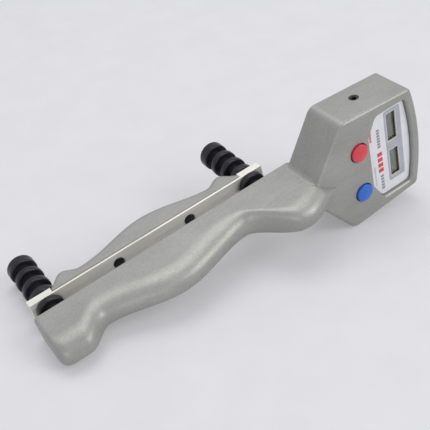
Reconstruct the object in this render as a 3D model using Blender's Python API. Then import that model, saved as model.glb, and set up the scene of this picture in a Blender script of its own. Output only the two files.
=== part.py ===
"""Digital hand-grip strength gauge, lying on its side.

Instrument frame: X runs along the handle towards the head, the finger bar is on the +Y side,
the display looks towards -Y and Z is the thickness of the handle. The whole instrument leans
about Y so that the head's lower corner and the heel of the handle both touch the ground.
"""
import math

import bmesh
import bpy
from mathutils import Matrix, Vector

MM = 0.001
GAP = 0.3 * MM                      # clearance between neighbouring pieces
THROUGH = 1.0 * MM                  # how far a cutting shape runs past the face it opens

# Handle: X stations, and depths measured from the finger bar's plane towards the palm
HEEL_X = -11.3 * MM
HANDLE_HALF = 8.0 * MM
HANDLE_BACK = -9.8 * MM
PALM_REACH = 13.0 * MM              # length over which the palm side rounds off
SCOOP = (112.0 * MM, 24.0 * MM)     # thumb hollow: centre and half length
SCOOP_REACH = 6.5 * MM              # how much crisper the rounding gets there
SCOOP_DEPTH = 2.0 * MM
PALM_FULLNESS = 2.2                 # 2 is an ellipse, more is squarer
BACK_RADIUS = 0.8 * MM
BASE_DEPTH = 31.0 * MM
HEEL_DEPTH = 40.8 * MM
HEEL_SHOULDER = (3.5 * MM, 19.0 * MM)
HEEL_CORNER = 6.0 * MM
HEEL_EDGE = 2.0 * MM
PALM_SWELL = (59.5 * MM, 43.0 * MM, 9.4 * MM)      # centre, half length, rise
HORN_RISE = (103.5 * MM, 128.5 * MM)
HORN_DEPTH = 50.2 * MM
NOSE_START = 131.0 * MM
NOSE_NARROW = 146.0 * MM
NOSE_END = 157.0 * MM
NOSE_TAPER = 1.25
NOSE_DEPTH = 38.6 * MM
NOSE_FADE = 5.0 * MM
NOSE_TIP_HALF = 0.4 * MM
NOSE_BACK_DROP = 9.3 * MM
NOSE_BACK_SPAN = (148.0 * MM, 156.0 * MM)
STATION_STEP = 3.4 * MM
HEEL_STEPS = 7
NOSE_STEPS = 12
PALM_STEPS = 7
NECK_FILLET = 4.5 * MM
FILLET_BITE = 0.8 * MM              # how deep a fillet is rooted in its two walls

# Head
HEAD_BACK = -13.1 * MM
HEAD_FRONT = -39.1 * MM
HEAD_FOOT = (143.4 * MM, 5.8 * MM)
HEAD_SHOULDER = (164.8 * MM, 36.0 * MM)
HEAD_CREST = (212.2 * MM, 32.6 * MM)
HEAD_BOW = 4.0 * MM
BOW_STEPS = 12
SHOULDER_RADIUS = 6.5 * MM
CREST_RADIUS = 3.4 * MM
HEAD_FRONT_EDGE = 1.9 * MM
HEAD_BACK_EDGE = 0.8 * MM
WALL = 3.6 * MM
RIM = 1.8 * MM
POCKET_START = 12.0 * MM
COVER_START = 10.0 * MM
COVER_PLATE = 2.6 * MM

# Display recess, panel and windows
RECESS_DEPTH = 3.6 * MM
FRONT_WALL = 2.5 * MM
PANEL_CENTRE = (196.2 * MM, 0.1 * MM)
PANEL_LENGTH = 28.7 * MM
PANEL_HALF = 27.6 * MM
PANEL_CORNER = (6.0 * MM, 11.0 * MM)
PANEL_BOW = 2.8 * MM
PANEL_ROUND = 4.0 * MM
PANEL_CREST_ROUND = 3.0 * MM
PANEL_BOW_STEPS = 8
PANEL_THICK = 0.9 * MM
WINDOW_X = 199.0 * MM
WINDOW_Z = (14.5 * MM, -9.6 * MM)
WINDOW_SIZE = (6.6 * MM, 18.2 * MM)
LENS_SETBACK = 0.1 * MM
LENS_THICK = 0.6 * MM
LCD_SIZE = (9.4 * MM, 21.4 * MM)
LCD_THICK = 2.1 * MM

# Buttons
BUTTON_X = 173.9 * MM
BUTTON_Z = (12.7 * MM, -14.9 * MM)
BUTTON_RADIUS = 5.2 * MM
BUTTON_PROUD = 2.0 * MM
BUTTON_DOME = 0.6 * MM
BUTTON_EDGE = 0.7 * MM
FLANGE_RADIUS = 6.4 * MM
FLANGE_THICK = 1.0 * MM
FLANGE_SEAT = 3.1 * MM
STEM_RADIUS = 1.4 * MM
STEM_LENGTH = 0.5 * MM

# Electronics in the head
BOARD_FRONT = -31.0 * MM
BOARD_THICK = 1.6 * MM
BOARD_X = (164.0 * MM, 208.6 * MM)
BOARD_HALF = 22.2 * MM
SWITCH_SIDE = 6.0 * MM
SWITCH_HEIGHT = 1.2 * MM
PLUNGER_RADIUS = 1.7 * MM
PLUNGER_HEIGHT = 0.4 * MM
CHIP_CENTRE = (169.5 * MM, -6.0 * MM)
CHIP_SIZE = (8.0 * MM, 1.6 * MM, 10.0 * MM)
SOUNDER_CENTRE = (169.2 * MM, 11.0 * MM)
SOUNDER_RADIUS = 4.2 * MM
SOUNDER_HEIGHT = 4.0 * MM
CELL_RADIUS = 5.2 * MM
CELL_LENGTH = 44.0 * MM
CELL_NUB = (1.9 * MM, 0.8 * MM)     # radius and height of a battery's raised end
CELL_X = (182.4 * MM, 193.6 * MM)
CELL_Y = -22.5 * MM
HOLDER_X = (175.8 * MM, 200.2 * MM)
HOLDER_HALF = 24.0 * MM
HOLDER_TOP = -21.5 * MM
HOLDER_FLOOR = 1.7 * MM
JACK_X = 186.5 * MM
JACK_Y = -23.8 * MM
JACK_SLEEVE = 2.5 * MM
JACK_BORE = 1.6 * MM
JACK_BODY = 3.8 * MM
JACK_Z = (25.2 * MM, 30.2 * MM, 33.9 * MM)         # body end, shoulder, mouth
JACK_HOLE = (27.0 * MM, 39.0 * MM)
JACK_BLIND = 1.5 * MM

# Screws: (x, z) in millimetres, and sizes as (head radius, head height, shank radius, length)
COVER_SCREWS = ((171.0, 28.2), (171.0, -28.2), (205.0, 25.6), (205.0, -25.6))
BOARD_SCREWS = ((166.6, 20.5), (166.6, -20.5), (206.2, 1.5), (206.2, -20.0))
STRIP_SCREWS = ((57.5, 3.3), (69.5, -3.3), (138.0, 3.3), (138.0, -3.3))
COVER_SCREW = (2.4 * MM, 1.4 * MM, 1.1 * MM, 8.5 * MM)
STRIP_SCREW = (1.9 * MM, 1.2 * MM, 1.1 * MM, 6.0 * MM)
BOARD_SCREW = (1.5 * MM, 1.0 * MM, 0.6 * MM, 4.2 * MM)
ANCHOR_SCREW = (2.6 * MM, 1.6 * MM, 1.5 * MM, 11.0 * MM)
GRIP_SCREW = (3.2 * MM, 0.4 * MM, 1.5 * MM, 5.6 * MM)
COVER_BOSS = 3.2 * MM
BOARD_BOSS = 2.0 * MM
BOSS_ROOT = 0.5 * MM

# Load path in the handle
POST_X = (0.0, 127.0 * MM)
CHANNEL_HALF = 5.2 * MM
CHANNEL_FLOOR = -21.5 * MM
CELL_POCKETS = ((-6.4 * MM, 48.0 * MM), (79.0 * MM, 133.4 * MM))
COVER_HALF = 6.3 * MM
COVER_X = (-7.7 * MM, 141.0 * MM)
COVER_THICK = 2.3 * MM
BEAM_BACK = -14.5 * MM
BEAM_FRONT = -20.5 * MM
BEAM_HALF = 4.4 * MM
BEAM_OVERHANG = 5.4 * MM
BEAM_LENGTH = 46.0 * MM
BEAM_FOOT = 10.0 * MM
BEAM_FOOT_TOP = 1.6 * MM            # leaves room for the signal cable beside the foot
FLEXURES = (14.0 * MM, 22.0 * MM)   # distance of the two thinned spots from the post
FLEXURE_BORE = 2.3 * MM
FLEXURE_SLOT = 0.8 * MM
GAUGE_SIZE = (5.2 * MM, 3.2 * MM)
WIRE_WAY = (2.2 * MM, 4.2 * MM)
WIRE_WAY_DEPTH = 2.0 * MM
WIRE_WAY_X = (20.0 * MM, 157.0 * MM)
WIRE_X = (24.0 * MM, 90.0 * MM, 150.0 * MM, 156.5 * MM)
WIRE_BEND = (10.0 * MM, -4.9 * MM, -1.0 * MM)
WIRE_BEND_STEPS = 8
WIRE_RADIUS = 0.7 * MM

# Grooved posts
POST_RING = 7.8 * MM
POST_CORE = 4.6 * MM
POST_SHANK = 3.0 * MM
POST_TIP = 0.4 * MM
GROOVE_PITCH = 9.5 * MM
RING_THICK = 4.2 * MM
FIRST_RING = -4.5 * MM
RING_COUNT = 4
RING_EDGE = 0.7 * MM
POST_END = 40.0 * MM
SHANK_END = -20.0 * MM

# Finger bar and grip
BAR_X = (-9.2 * MM, 136.2 * MM)
BAR_THICK = 4.7 * MM
BAR_WEB = 1.1 * MM
BAR_HALF = 6.85 * MM
BAR_EDGE = 0.25 * MM
TAB_INNER = 4.6 * MM
HOOK_STEPS = 20
GRIP_HALF = 7.4 * MM
GRIP_BASE = 8.4 * MM
GRIP_SWELL = (65.5 * MM, 42.0 * MM, 8.6 * MM)
GRIP_LOBE = (49.8 * MM, 9.5 * MM, 4.2 * MM)        # offset from the middle, half length, rise
GRIP_RADIUS = 4.2 * MM
GRIP_END_ROUND = 9.5 * MM
GRIP_TOE = 0.5 * MM                 # the rounding starts this far outside the grip's cut end
GRIP_TIP = 0.1 * MM
GRIP_STEPS = 44
GRIP_SCREW_X = (41.8 * MM, 86.7 * MM)
GRIP_SINK = (3.6 * MM, 0.6 * MM)    # radius and depth of the screw recesses in the bar

SMOOTH_ANGLE = math.radians(32.0)
WELD = 0.002 * MM
ROUND = 28
SMALL_ROUND = 14


# ---------------------------------------------------------------- helpers

def new_material(name, rgb, roughness, metallic):
    mat = bpy.data.materials.new(name)
    mat.use_nodes = True
    shader = mat.node_tree.nodes["Principled BSDF"]
    shader.inputs["Base Color"].default_value = (*rgb, 1.0)
    shader.inputs["Roughness"].default_value = roughness
    shader.inputs["Metallic"].default_value = metallic
    return mat


def shade(mesh):
    mesh.shade_smooth()
    mesh.set_sharp_from_angle(angle=SMOOTH_ANGLE)


def make_object(name, bm, mat, origin=(0.0, 0.0, 0.0)):
    """Turn a bmesh drawn in the instrument frame into an object with its origin at `origin`."""
    bmesh.ops.remove_doubles(bm, verts=bm.verts, dist=1e-7)
    bmesh.ops.recalc_face_normals(bm, faces=bm.faces)
    bmesh.ops.translate(bm, verts=bm.verts, vec=-Vector(origin))
    mesh = bpy.data.meshes.new(name)
    bm.to_mesh(mesh)
    bm.free()
    if mat is not None:
        mesh.materials.append(mat)
    shade(mesh)
    obj = bpy.data.objects.new(name, mesh)
    obj.location = origin
    bpy.context.scene.collection.objects.link(obj)
    return obj


def combine(obj, bm, operation):
    """Exact boolean of the object with a tool shape; the result is baked into its mesh."""
    tool = make_object("tool", bm, None, obj.location)
    modifier = obj.modifiers.new("cut", "BOOLEAN")
    modifier.operation = operation
    modifier.solver = "EXACT"
    modifier.object = tool
    bpy.context.view_layer.update()
    result = bpy.data.meshes.new_from_object(obj.evaluated_get(bpy.context.evaluated_depsgraph_get()))
    obj.modifiers.remove(modifier)
    old = obj.data
    obj.data = result
    result.name = old.name
    bpy.data.meshes.remove(old)
    tidy = bmesh.new()
    tidy.from_mesh(result)
    bmesh.ops.remove_doubles(tidy, verts=tidy.verts, dist=WELD)
    bmesh.ops.dissolve_degenerate(tidy, edges=tidy.edges, dist=WELD)
    tidy.to_mesh(result)
    tidy.free()
    tool_mesh = tool.data
    bpy.data.objects.remove(tool)
    bpy.data.meshes.remove(tool_mesh)
    shade(result)


def cut(obj, bm):
    combine(obj, bm, "DIFFERENCE")


def add(obj, bm):
    combine(obj, bm, "UNION")


def block(low, high, edge=0.0):
    """Box between two corners; `edge` rounds every edge a little."""
    bm = bmesh.new()
    size = [b - a for a, b in zip(low, high)]
    middle = [(a + b) / 2 for a, b in zip(low, high)]
    bmesh.ops.create_cube(bm, size=1.0, matrix=Matrix.Translation(middle) @ Matrix.Diagonal((*size, 1.0)))
    if edge:
        bmesh.ops.bevel(bm, geom=bm.edges[:], offset=edge, segments=2, profile=0.5, affect="EDGES")
    return bm


def prism(outline, y_low, y_high, low_edge=0.0, high_edge=0.0):
    """Outline of (x, z) points extruded along Y, with its two end rims rounded."""
    bm = bmesh.new()
    face = bm.faces.new([bm.verts.new((x, y_low, z)) for x, z in outline])
    grown = bmesh.ops.extrude_face_region(bm, geom=[face])
    bmesh.ops.translate(bm, verts=[v for v in grown["geom"] if isinstance(v, bmesh.types.BMVert)],
                        vec=(0.0, y_high - y_low, 0.0))
    for y, edge in ((y_low, low_edge), (y_high, high_edge)):
        if edge:
            rim = [e for e in bm.edges if all(abs(v.co.y - y) < WELD for v in e.verts)]
            bmesh.ops.bevel(bm, geom=rim, offset=edge, segments=3, profile=0.5, affect="EDGES")
    return bm


def skin(rings):
    """Join equal rings of points into a closed surface with flat ends."""
    bm = bmesh.new()
    loops = [[bm.verts.new(point) for point in ring] for ring in rings]
    for low, high in zip(loops, loops[1:]):
        for i in range(len(low)):
            j = (i + 1) % len(low)
            bm.faces.new((low[i], low[j], high[j], high[i]))
    bm.faces.new(loops[0])
    bm.faces.new(loops[-1])
    return bm


def turned(profile, centre, axis="Y", steps=ROUND):
    """Solid of revolution: `profile` lists (distance along the axis, radius) pairs.

    Radii of zero at the ends close the solid on its axis."""
    bm = bmesh.new()
    rings = []
    for along, radius in profile:
        if radius <= 0.0:
            rings.append([bm.verts.new((0.0, along, 0.0))])
            continue
        rings.append([bm.verts.new((radius * math.cos(2 * math.pi * i / steps), along,
                                    radius * math.sin(2 * math.pi * i / steps))) for i in range(steps)])
    for low, high in zip(rings, rings[1:]):
        for i in range(steps):
            j = (i + 1) % steps
            if len(low) == 1:
                bm.faces.new((low[0], high[j], high[i]))
            elif len(high) == 1:
                bm.faces.new((low[i], low[j], high[0]))
            else:
                bm.faces.new((low[i], low[j], high[j], high[i]))
    turn = Matrix.Rotation(math.radians(90), 4, "X") if axis == "Z" else Matrix.Identity(4)
    bmesh.ops.transform(bm, matrix=Matrix.Translation(centre) @ turn, verts=bm.verts)
    return bm


def rod(radius, low, high, x, z, steps=SMALL_ROUND):
    """Plain cylinder along Y."""
    return turned(((low, 0.0), (low, radius), (high, radius), (high, 0.0)), (x, 0.0, z), steps=steps)


def cross_rod(radius, half_length, x, y, steps=SMALL_ROUND):
    """Plain cylinder along Z, centred on the instrument's middle plane."""
    return turned(((-half_length, 0.0), (-half_length, radius), (half_length, radius), (half_length, 0.0)),
                  (x, y, 0.0), "Z", steps)


def stepped_hole(narrow_end, step, wide_end, narrow, wide, x, z, steps=SMALL_ROUND):
    """Counterbore along Y: a narrow bore up to `step`, then a wide one."""
    return turned(((narrow_end, 0.0), (narrow_end, narrow), (step, narrow), (step, wide), (wide_end, wide),
                   (wide_end, 0.0)), (x, 0.0, z), steps=steps)


def corner_arc(before, corner, after, radius, steps):
    """Points of the arc that rounds a polygon's corner."""
    here = Vector(corner)
    back = (Vector(before) - here).normalized()
    ahead = (Vector(after) - here).normalized()
    half = back.angle(ahead) / 2
    centre = here + (back + ahead).normalized() * (radius / math.sin(half))
    start = here + back * (radius / math.tan(half)) - centre
    end = here + ahead * (radius / math.tan(half)) - centre
    sweep = start.angle_signed(end)
    return [centre + Matrix.Rotation(-sweep * k / steps, 2) @ start for k in range(steps + 1)]


def rounded_outline(points, radii, steps=5):
    """Replace each corner of a polygon that has a radius by an arc."""
    outline = []
    for i, point in enumerate(points):
        if radii[i] > 0.0:
            outline += [tuple(p) for p in corner_arc(points[i - 1], point, points[(i + 1) % len(points)],
                                                     radii[i], steps)]
        else:
            outline.append(point)
    return outline


def inset_outline(points, distances):
    """Offset every edge of a convex polygon inwards by its own distance."""
    count = len(points)
    middle = sum((Vector(p) for p in points), Vector((0.0, 0.0))) / count
    lines = []
    for i in range(count):
        a, b = Vector(points[i]), Vector(points[(i + 1) % count])
        normal = Vector((b.y - a.y, a.x - b.x)).normalized()
        if normal.dot(middle - a) < 0:
            normal.negate()
        lines.append((normal, normal.dot(a) + distances[i]))
    corners = []
    for i in range(count):
        (n1, c1), (n2, c2) = lines[i - 1], lines[i]
        det = n1.x * n2.y - n1.y * n2.x
        corners.append(((c1 * n2.y - c2 * n1.y) / det, (n1.x * c2 - n2.x * c1) / det))
    return corners


def smooth_step(x, span):
    t = min(max((x - span[0]) / (span[1] - span[0]), 0.0), 1.0)
    return t * t * (3.0 - 2.0 * t)


def swell(x, centre, half, rise):
    """Raised-cosine bump."""
    t = (x - centre) / half
    return rise * 0.5 * (1.0 + math.cos(math.pi * t)) if abs(t) < 1.0 else 0.0


def quarter(k, steps):
    return math.pi / 2 * k / steps


def spots(table):
    return [(x * MM, z * MM) for x, z in table]


def cap_screw(name, mat, seat, size, facing=1.0):
    """Socket screw; `seat` is the centre of the surface under its head, which points along Y * facing."""
    head, height, shank, length = size
    edge = head * 0.12
    profile = ((-length, 0.0), (-length, shank * 0.7), (-length + shank * 0.5, shank), (0.0, shank), (0.0, head),
               (height - edge, head), (height, head - edge), (height, 0.0))
    drive = ((height * 0.4, 0.0), (height * 0.4, head * 0.5), (height * 1.4, head * 0.5), (height * 1.4, 0.0))
    screw = make_object(name, turned([(facing * y, r) for y, r in profile], seat, steps=SMALL_ROUND), mat, seat)
    cut(screw, turned([(facing * y, r) for y, r in drive], seat, steps=6))
    return screw


# ---------------------------------------------------------------- shapes of the handle and head

def palm_section(half, back, front, reach=PALM_REACH):
    """Handle cross-section in YZ: flat back, straight sides and a fully rounded palm side."""
    corner = min(BACK_RADIUS, half * 0.45)
    reach = min(reach, (back - front) * 0.6)
    side = [(back - corner * (1 - math.cos(a)), half - corner + corner * math.sin(a))
            for a in (quarter(k, 2) for k in range(3))]
    power = 2.0 / PALM_FULLNESS
    side += [(front + reach * (1 - math.sin(a) ** power), half * math.cos(a) ** power)
             for a in (quarter(k, PALM_STEPS) for k in range(PALM_STEPS))]
    return side + [(front, 0.0)] + [(y, -z) for y, z in reversed(side)]


def grip_section(half, back, front, radius):
    """Grip cross-section in YZ: a rectangle whose finger side has round corners."""
    side = [(back, half)]
    side += [(front - radius * (1 - math.sin(a)), half - radius * (1 - math.cos(a)))
             for a in (quarter(k, PALM_STEPS) for k in range(PALM_STEPS + 1))]
    return side + [(y, -z) for y, z in reversed(side)]


def palm_depth(x):
    """How far the palm side stands in front of the finger bar at station x."""
    heel = (HEEL_DEPTH - BASE_DEPTH) * (1.0 - smooth_step(x, HEEL_SHOULDER))
    horn = (HORN_DEPTH - BASE_DEPTH) * smooth_step(x, HORN_RISE)
    nose = (HORN_DEPTH - NOSE_DEPTH) * smooth_step(x, (NOSE_START, NOSE_END + NOSE_FADE))
    return BASE_DEPTH + heel + swell(x, *PALM_SWELL) + horn - nose - swell(x, *SCOOP, SCOOP_DEPTH)


def handle_rings():
    """Cross-sections from the rounded heel to the nose that fades into the display face."""
    slices = []
    for k in range(HEEL_STEPS):
        a = quarter(k, HEEL_STEPS)
        x = HEEL_X + HEEL_CORNER * (1 - math.cos(a))
        depth = palm_depth(x) - HEEL_CORNER * (1 - math.sin(a))
        inside = min(x - HEEL_X, HEEL_EDGE)
        trim = HEEL_EDGE - math.sqrt(HEEL_EDGE ** 2 - (HEEL_EDGE - inside) ** 2)
        slices.append((x, palm_section(HANDLE_HALF - trim, HANDLE_BACK - trim * 0.6, -depth)))
    start = HEEL_X + HEEL_CORNER
    count = round((NOSE_NARROW - start) / STATION_STEP)
    for k in range(count + 1):
        x = start + (NOSE_NARROW - start) * k / count
        reach = PALM_REACH - swell(x, *SCOOP, SCOOP_REACH)
        slices.append((x, palm_section(HANDLE_HALF, HANDLE_BACK, -palm_depth(x), reach)))
    for k in range(1, NOSE_STEPS):
        t = k / NOSE_STEPS
        x = NOSE_NARROW + (NOSE_END - NOSE_NARROW) * t
        half = max(HANDLE_HALF * (1.0 - t ** NOSE_TAPER), NOSE_TIP_HALF)
        back = HANDLE_BACK - NOSE_BACK_DROP * smooth_step(x, NOSE_BACK_SPAN)
        slices.append((x, palm_section(half, back, -palm_depth(x))))
    return [[(x, y, z) for y, z in section] for x, section in slices]


def head_polygon():
    """Corners of the head's outline; the far end bulges outwards between its two crest corners."""
    x, z = HEAD_CREST
    bow = [(x + HEAD_BOW * (1 - (1 - 2 * k / BOW_STEPS) ** 2), -z + 2 * z * k / BOW_STEPS)
           for k in range(BOW_STEPS + 1)]
    foot, shoulder = HEAD_FOOT, HEAD_SHOULDER
    return [(foot[0], -foot[1]), (shoulder[0], -shoulder[1])] + bow + [shoulder, foot]


def head_outline():
    points = head_polygon()
    radii = [0.0] * len(points)
    radii[1] = radii[-2] = SHOULDER_RADIUS
    radii[2] = radii[-3] = CREST_RADIUS
    return rounded_outline(points, radii)


def head_inset(start, wall):
    """The head's outline moved inwards by `wall`, and by `start` at the neck."""
    points = head_polygon()
    distances = [wall] * len(points)
    distances[-1] = start
    return inset_outline(points, distances)


def panel_outline(grow=0.0):
    """Label plate: slanted corners at the button end and a bowed far end."""
    x0 = PANEL_CENTRE[0] - PANEL_LENGTH / 2 - grow
    x1 = PANEL_CENTRE[0] + PANEL_LENGTH / 2 - PANEL_BOW + grow
    half = PANEL_HALF + grow
    cut_x, cut_z = PANEL_CORNER
    steps = PANEL_BOW_STEPS
    bow = [(x1 + PANEL_BOW * (1 - (1 - 2 * k / steps) ** 2), -half + 2 * half * k / steps)
           for k in range(steps + 1)]
    points = [(x0, -half + cut_z), (x0 + cut_x, -half)] + bow + [(x0 + cut_x, half), (x0, half - cut_z)]
    radii = [PANEL_ROUND] * 2 + [PANEL_CREST_ROUND] + [0.0] * (steps - 1) + [PANEL_CREST_ROUND]
    radii += [PANEL_ROUND] * 2
    return [(x, z + PANEL_CENTRE[1]) for x, z in rounded_outline(points, radii, 4)]


def neck_fillet(side):
    """Concave blend where the head's slanted flank meets one side of the neck."""
    foot, shoulder = Vector(HEAD_FOOT), Vector(HEAD_SHOULDER)
    slope = (shoulder - foot).normalized()
    corner = foot + slope * ((HANDLE_HALF - foot.y) / slope.y)
    arc = corner_arc(corner - Vector((1.0, 0.0)), corner, corner + slope, NECK_FILLET, 6)
    inward = Vector((slope.y, -slope.x)) * FILLET_BITE
    points = arc + [arc[-1] + inward, corner + inward * 2.0, arc[0] - Vector((0.0, FILLET_BITE))]
    return prism([(p.x, side * p.y) for p in points], HEAD_FRONT + HEAD_FRONT_EDGE, HEAD_BACK - HEAD_BACK_EDGE)


def build_body(mat):
    """One milled piece: handle, neck and the hollow head."""
    body = make_object("main_body", skin(handle_rings()), mat)
    add(body, prism(head_outline(), HEAD_FRONT, HEAD_BACK, HEAD_FRONT_EDGE, HEAD_BACK_EDGE))
    for side in (1.0, -1.0):
        add(body, neck_fillet(side))

    floor = HEAD_FRONT + RECESS_DEPTH
    inner = floor + FRONT_WALL
    cover_seat = HEAD_BACK - COVER_PLATE - GAP
    cut(body, prism(panel_outline(GAP), HEAD_FRONT - THROUGH, floor))
    cut(body, prism(head_inset(COVER_START, RIM), cover_seat, HEAD_BACK + THROUGH))
    cut(body, prism(head_inset(POCKET_START, WALL), inner, cover_seat + BOSS_ROOT))
    screw_bore, screw_length = COVER_SCREW[2] + GAP, COVER_SCREW[3]
    for x, z in spots(COVER_SCREWS):
        add(body, rod(COVER_BOSS, inner - BOSS_ROOT, cover_seat, x, z))
        cut(body, rod(screw_bore, cover_seat - screw_length - BOSS_ROOT, cover_seat + BOSS_ROOT, x, z))
    for x, z in spots(BOARD_SCREWS):
        add(body, rod(BOARD_BOSS, inner - BOSS_ROOT, BOARD_FRONT - GAP, x, z))
        cut(body, rod(BOARD_SCREW[2] + GAP, BOARD_FRONT - 3.4 * MM, BOARD_FRONT, x, z))

    # openings in the front wall: the two displays and the two buttons
    wide, tall = LCD_SIZE[0] / 2 + GAP, LCD_SIZE[1] / 2 + GAP
    for z in WINDOW_Z:
        cut(body, block((WINDOW_X - wide, floor - THROUGH, z - tall), (WINDOW_X + wide, inner + THROUGH, z + tall)))
    for z in BUTTON_Z:
        cut(body, stepped_hole(HEAD_FRONT - THROUGH, HEAD_FRONT + FLANGE_SEAT, inner + THROUGH,
                               BUTTON_RADIUS + GAP, FLANGE_RADIUS + GAP, BUTTON_X, z, ROUND))

    # the data socket's hole in the upper side
    sleeve = JACK_SLEEVE + GAP
    low, high = JACK_HOLE
    cut(body, turned(((low, 0.0), (low, sleeve), (high, sleeve), (high, 0.0)), (JACK_X, JACK_Y, 0.0), "Z"))

    # channel for the load cells, closed by the back strip
    seat = HANDLE_BACK - COVER_THICK - GAP
    cut(body, block((COVER_X[0] - GAP, seat, -COVER_HALF - GAP),
                    (COVER_X[1] + GAP, HANDLE_BACK + THROUGH, COVER_HALF + GAP)))
    for low, high in CELL_POCKETS:
        cut(body, block((low, CHANNEL_FLOOR, -CHANNEL_HALF), (high, seat + BOSS_ROOT, CHANNEL_HALF)))
    cut(body, block((WIRE_WAY_X[0], CHANNEL_FLOOR - WIRE_WAY_DEPTH, WIRE_WAY[0]),
                    (WIRE_WAY_X[1], CHANNEL_FLOOR + 0.01 * MM, WIRE_WAY[1])))
    for x, z in spots(STRIP_SCREWS):
        cut(body, rod(STRIP_SCREW[2] + GAP, seat - STRIP_SCREW[3] - BOSS_ROOT, seat + BOSS_ROOT, x, z))
    for x in anchor_stations():
        cut(body, rod(ANCHOR_SCREW[2] + GAP, CHANNEL_FLOOR - 4.6 * MM, CHANNEL_FLOOR + BOSS_ROOT, x, 0.0))
    return body


def anchor_stations():
    """Where each load cell is bolted down: at its inner end."""
    reach = BEAM_LENGTH - BEAM_FOOT / 2 - BEAM_OVERHANG
    return (POST_X[0] + reach, POST_X[1] - reach)


def fix_plate(plate, screw_name, mat, places, size, face, depth):
    """Counterbore a plate lying at `face` and drop its flush socket screws in."""
    head, height, shank, _length = size
    screws = []
    for n, (x, z) in enumerate(spots(places)):
        cut(plate, stepped_hole(face - depth - THROUGH, face - height - GAP, face + THROUGH,
                                shank + GAP, head + GAP, x, z))
        screws.append(cap_screw(f"{screw_name}_{n + 1}", mat, (x, face - height, z), size))
    return screws


def build_covers(mat_cover, mat_screw):
    outline = head_inset(COVER_START + GAP, RIM + GAP)
    plate = make_object("head_back_cover", prism(outline, HEAD_BACK - COVER_PLATE, HEAD_BACK, 0.0, 0.25 * MM),
                        mat_cover)
    screws = fix_plate(plate, "head_cover_screw", mat_screw, COVER_SCREWS, COVER_SCREW, HEAD_BACK, COVER_PLATE)
    strip = make_object("handle_back_strip", block((COVER_X[0], HANDLE_BACK - COVER_THICK, -COVER_HALF),
                                                   (COVER_X[1], HANDLE_BACK, COVER_HALF), 0.2 * MM), mat_cover)
    for x in POST_X:
        cut(strip, rod(POST_CORE + GAP, HANDLE_BACK - COVER_THICK - THROUGH, HANDLE_BACK + THROUGH, x, 0.0, ROUND))
    screws += fix_plate(strip, "strip_screw", mat_screw, STRIP_SCREWS, STRIP_SCREW, HANDLE_BACK, COVER_THICK)
    return [plate, strip] + screws


def window_block(size, y_low, y_high, z):
    """Box of a window's plan size, centred on one of the two displays."""
    wide, tall = size[0] / 2, size[1] / 2
    return block((WINDOW_X - wide, y_low, z - tall), (WINDOW_X + wide, y_high, z + tall))


def build_display(mats):
    """Label plate, clear lenses and the two liquid-crystal cells behind its windows."""
    floor = HEAD_FRONT + RECESS_DEPTH
    back = floor - GAP
    panel = make_object("display_panel", prism(panel_outline(), back - PANEL_THICK, back), mats["label"])
    pieces = [panel]
    for name, z in zip(("force", "time"), WINDOW_Z):
        cut(panel, window_block(WINDOW_SIZE, back - PANEL_THICK - THROUGH, back + THROUGH, z))
        front = floor + LENS_SETBACK
        pieces.append(make_object(f"lens_{name}", window_block(LCD_SIZE, front, front + LENS_THICK, z),
                                  mats["lens"], (WINDOW_X, front, z)))
        front += LENS_THICK + GAP
        pieces.append(make_object(f"lcd_{name}", window_block(LCD_SIZE, front, front + LCD_THICK, z),
                                  mats["lcd"], (WINDOW_X, front, z)))
    return pieces


def build_button(name, mat, z):
    """Domed push button whose origin lies on its sliding axis; the flange keeps it in the head."""
    front = HEAD_FRONT - BUTTON_PROUD
    flange = BUTTON_PROUD + FLANGE_SEAT + GAP
    flange_end = flange + FLANGE_THICK
    profile = [(0.0, 0.0), (BUTTON_DOME * 0.18, BUTTON_RADIUS * 0.4), (BUTTON_DOME * 0.5, BUTTON_RADIUS * 0.7)]
    profile += [(BUTTON_DOME + BUTTON_EDGE * (1 - math.cos(a)), BUTTON_RADIUS - BUTTON_EDGE * (1 - math.sin(a)))
                for a in (quarter(k, 3) for k in range(4))]
    profile += [(flange, BUTTON_RADIUS), (flange, FLANGE_RADIUS), (flange_end, FLANGE_RADIUS),
                (flange_end, STEM_RADIUS), (flange_end + STEM_LENGTH, STEM_RADIUS), (flange_end + STEM_LENGTH, 0.0)]
    return make_object(name, turned(profile, (BUTTON_X, front, z)), mat, (BUTTON_X, front, z))


# ---------------------------------------------------------------- electronics

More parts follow.
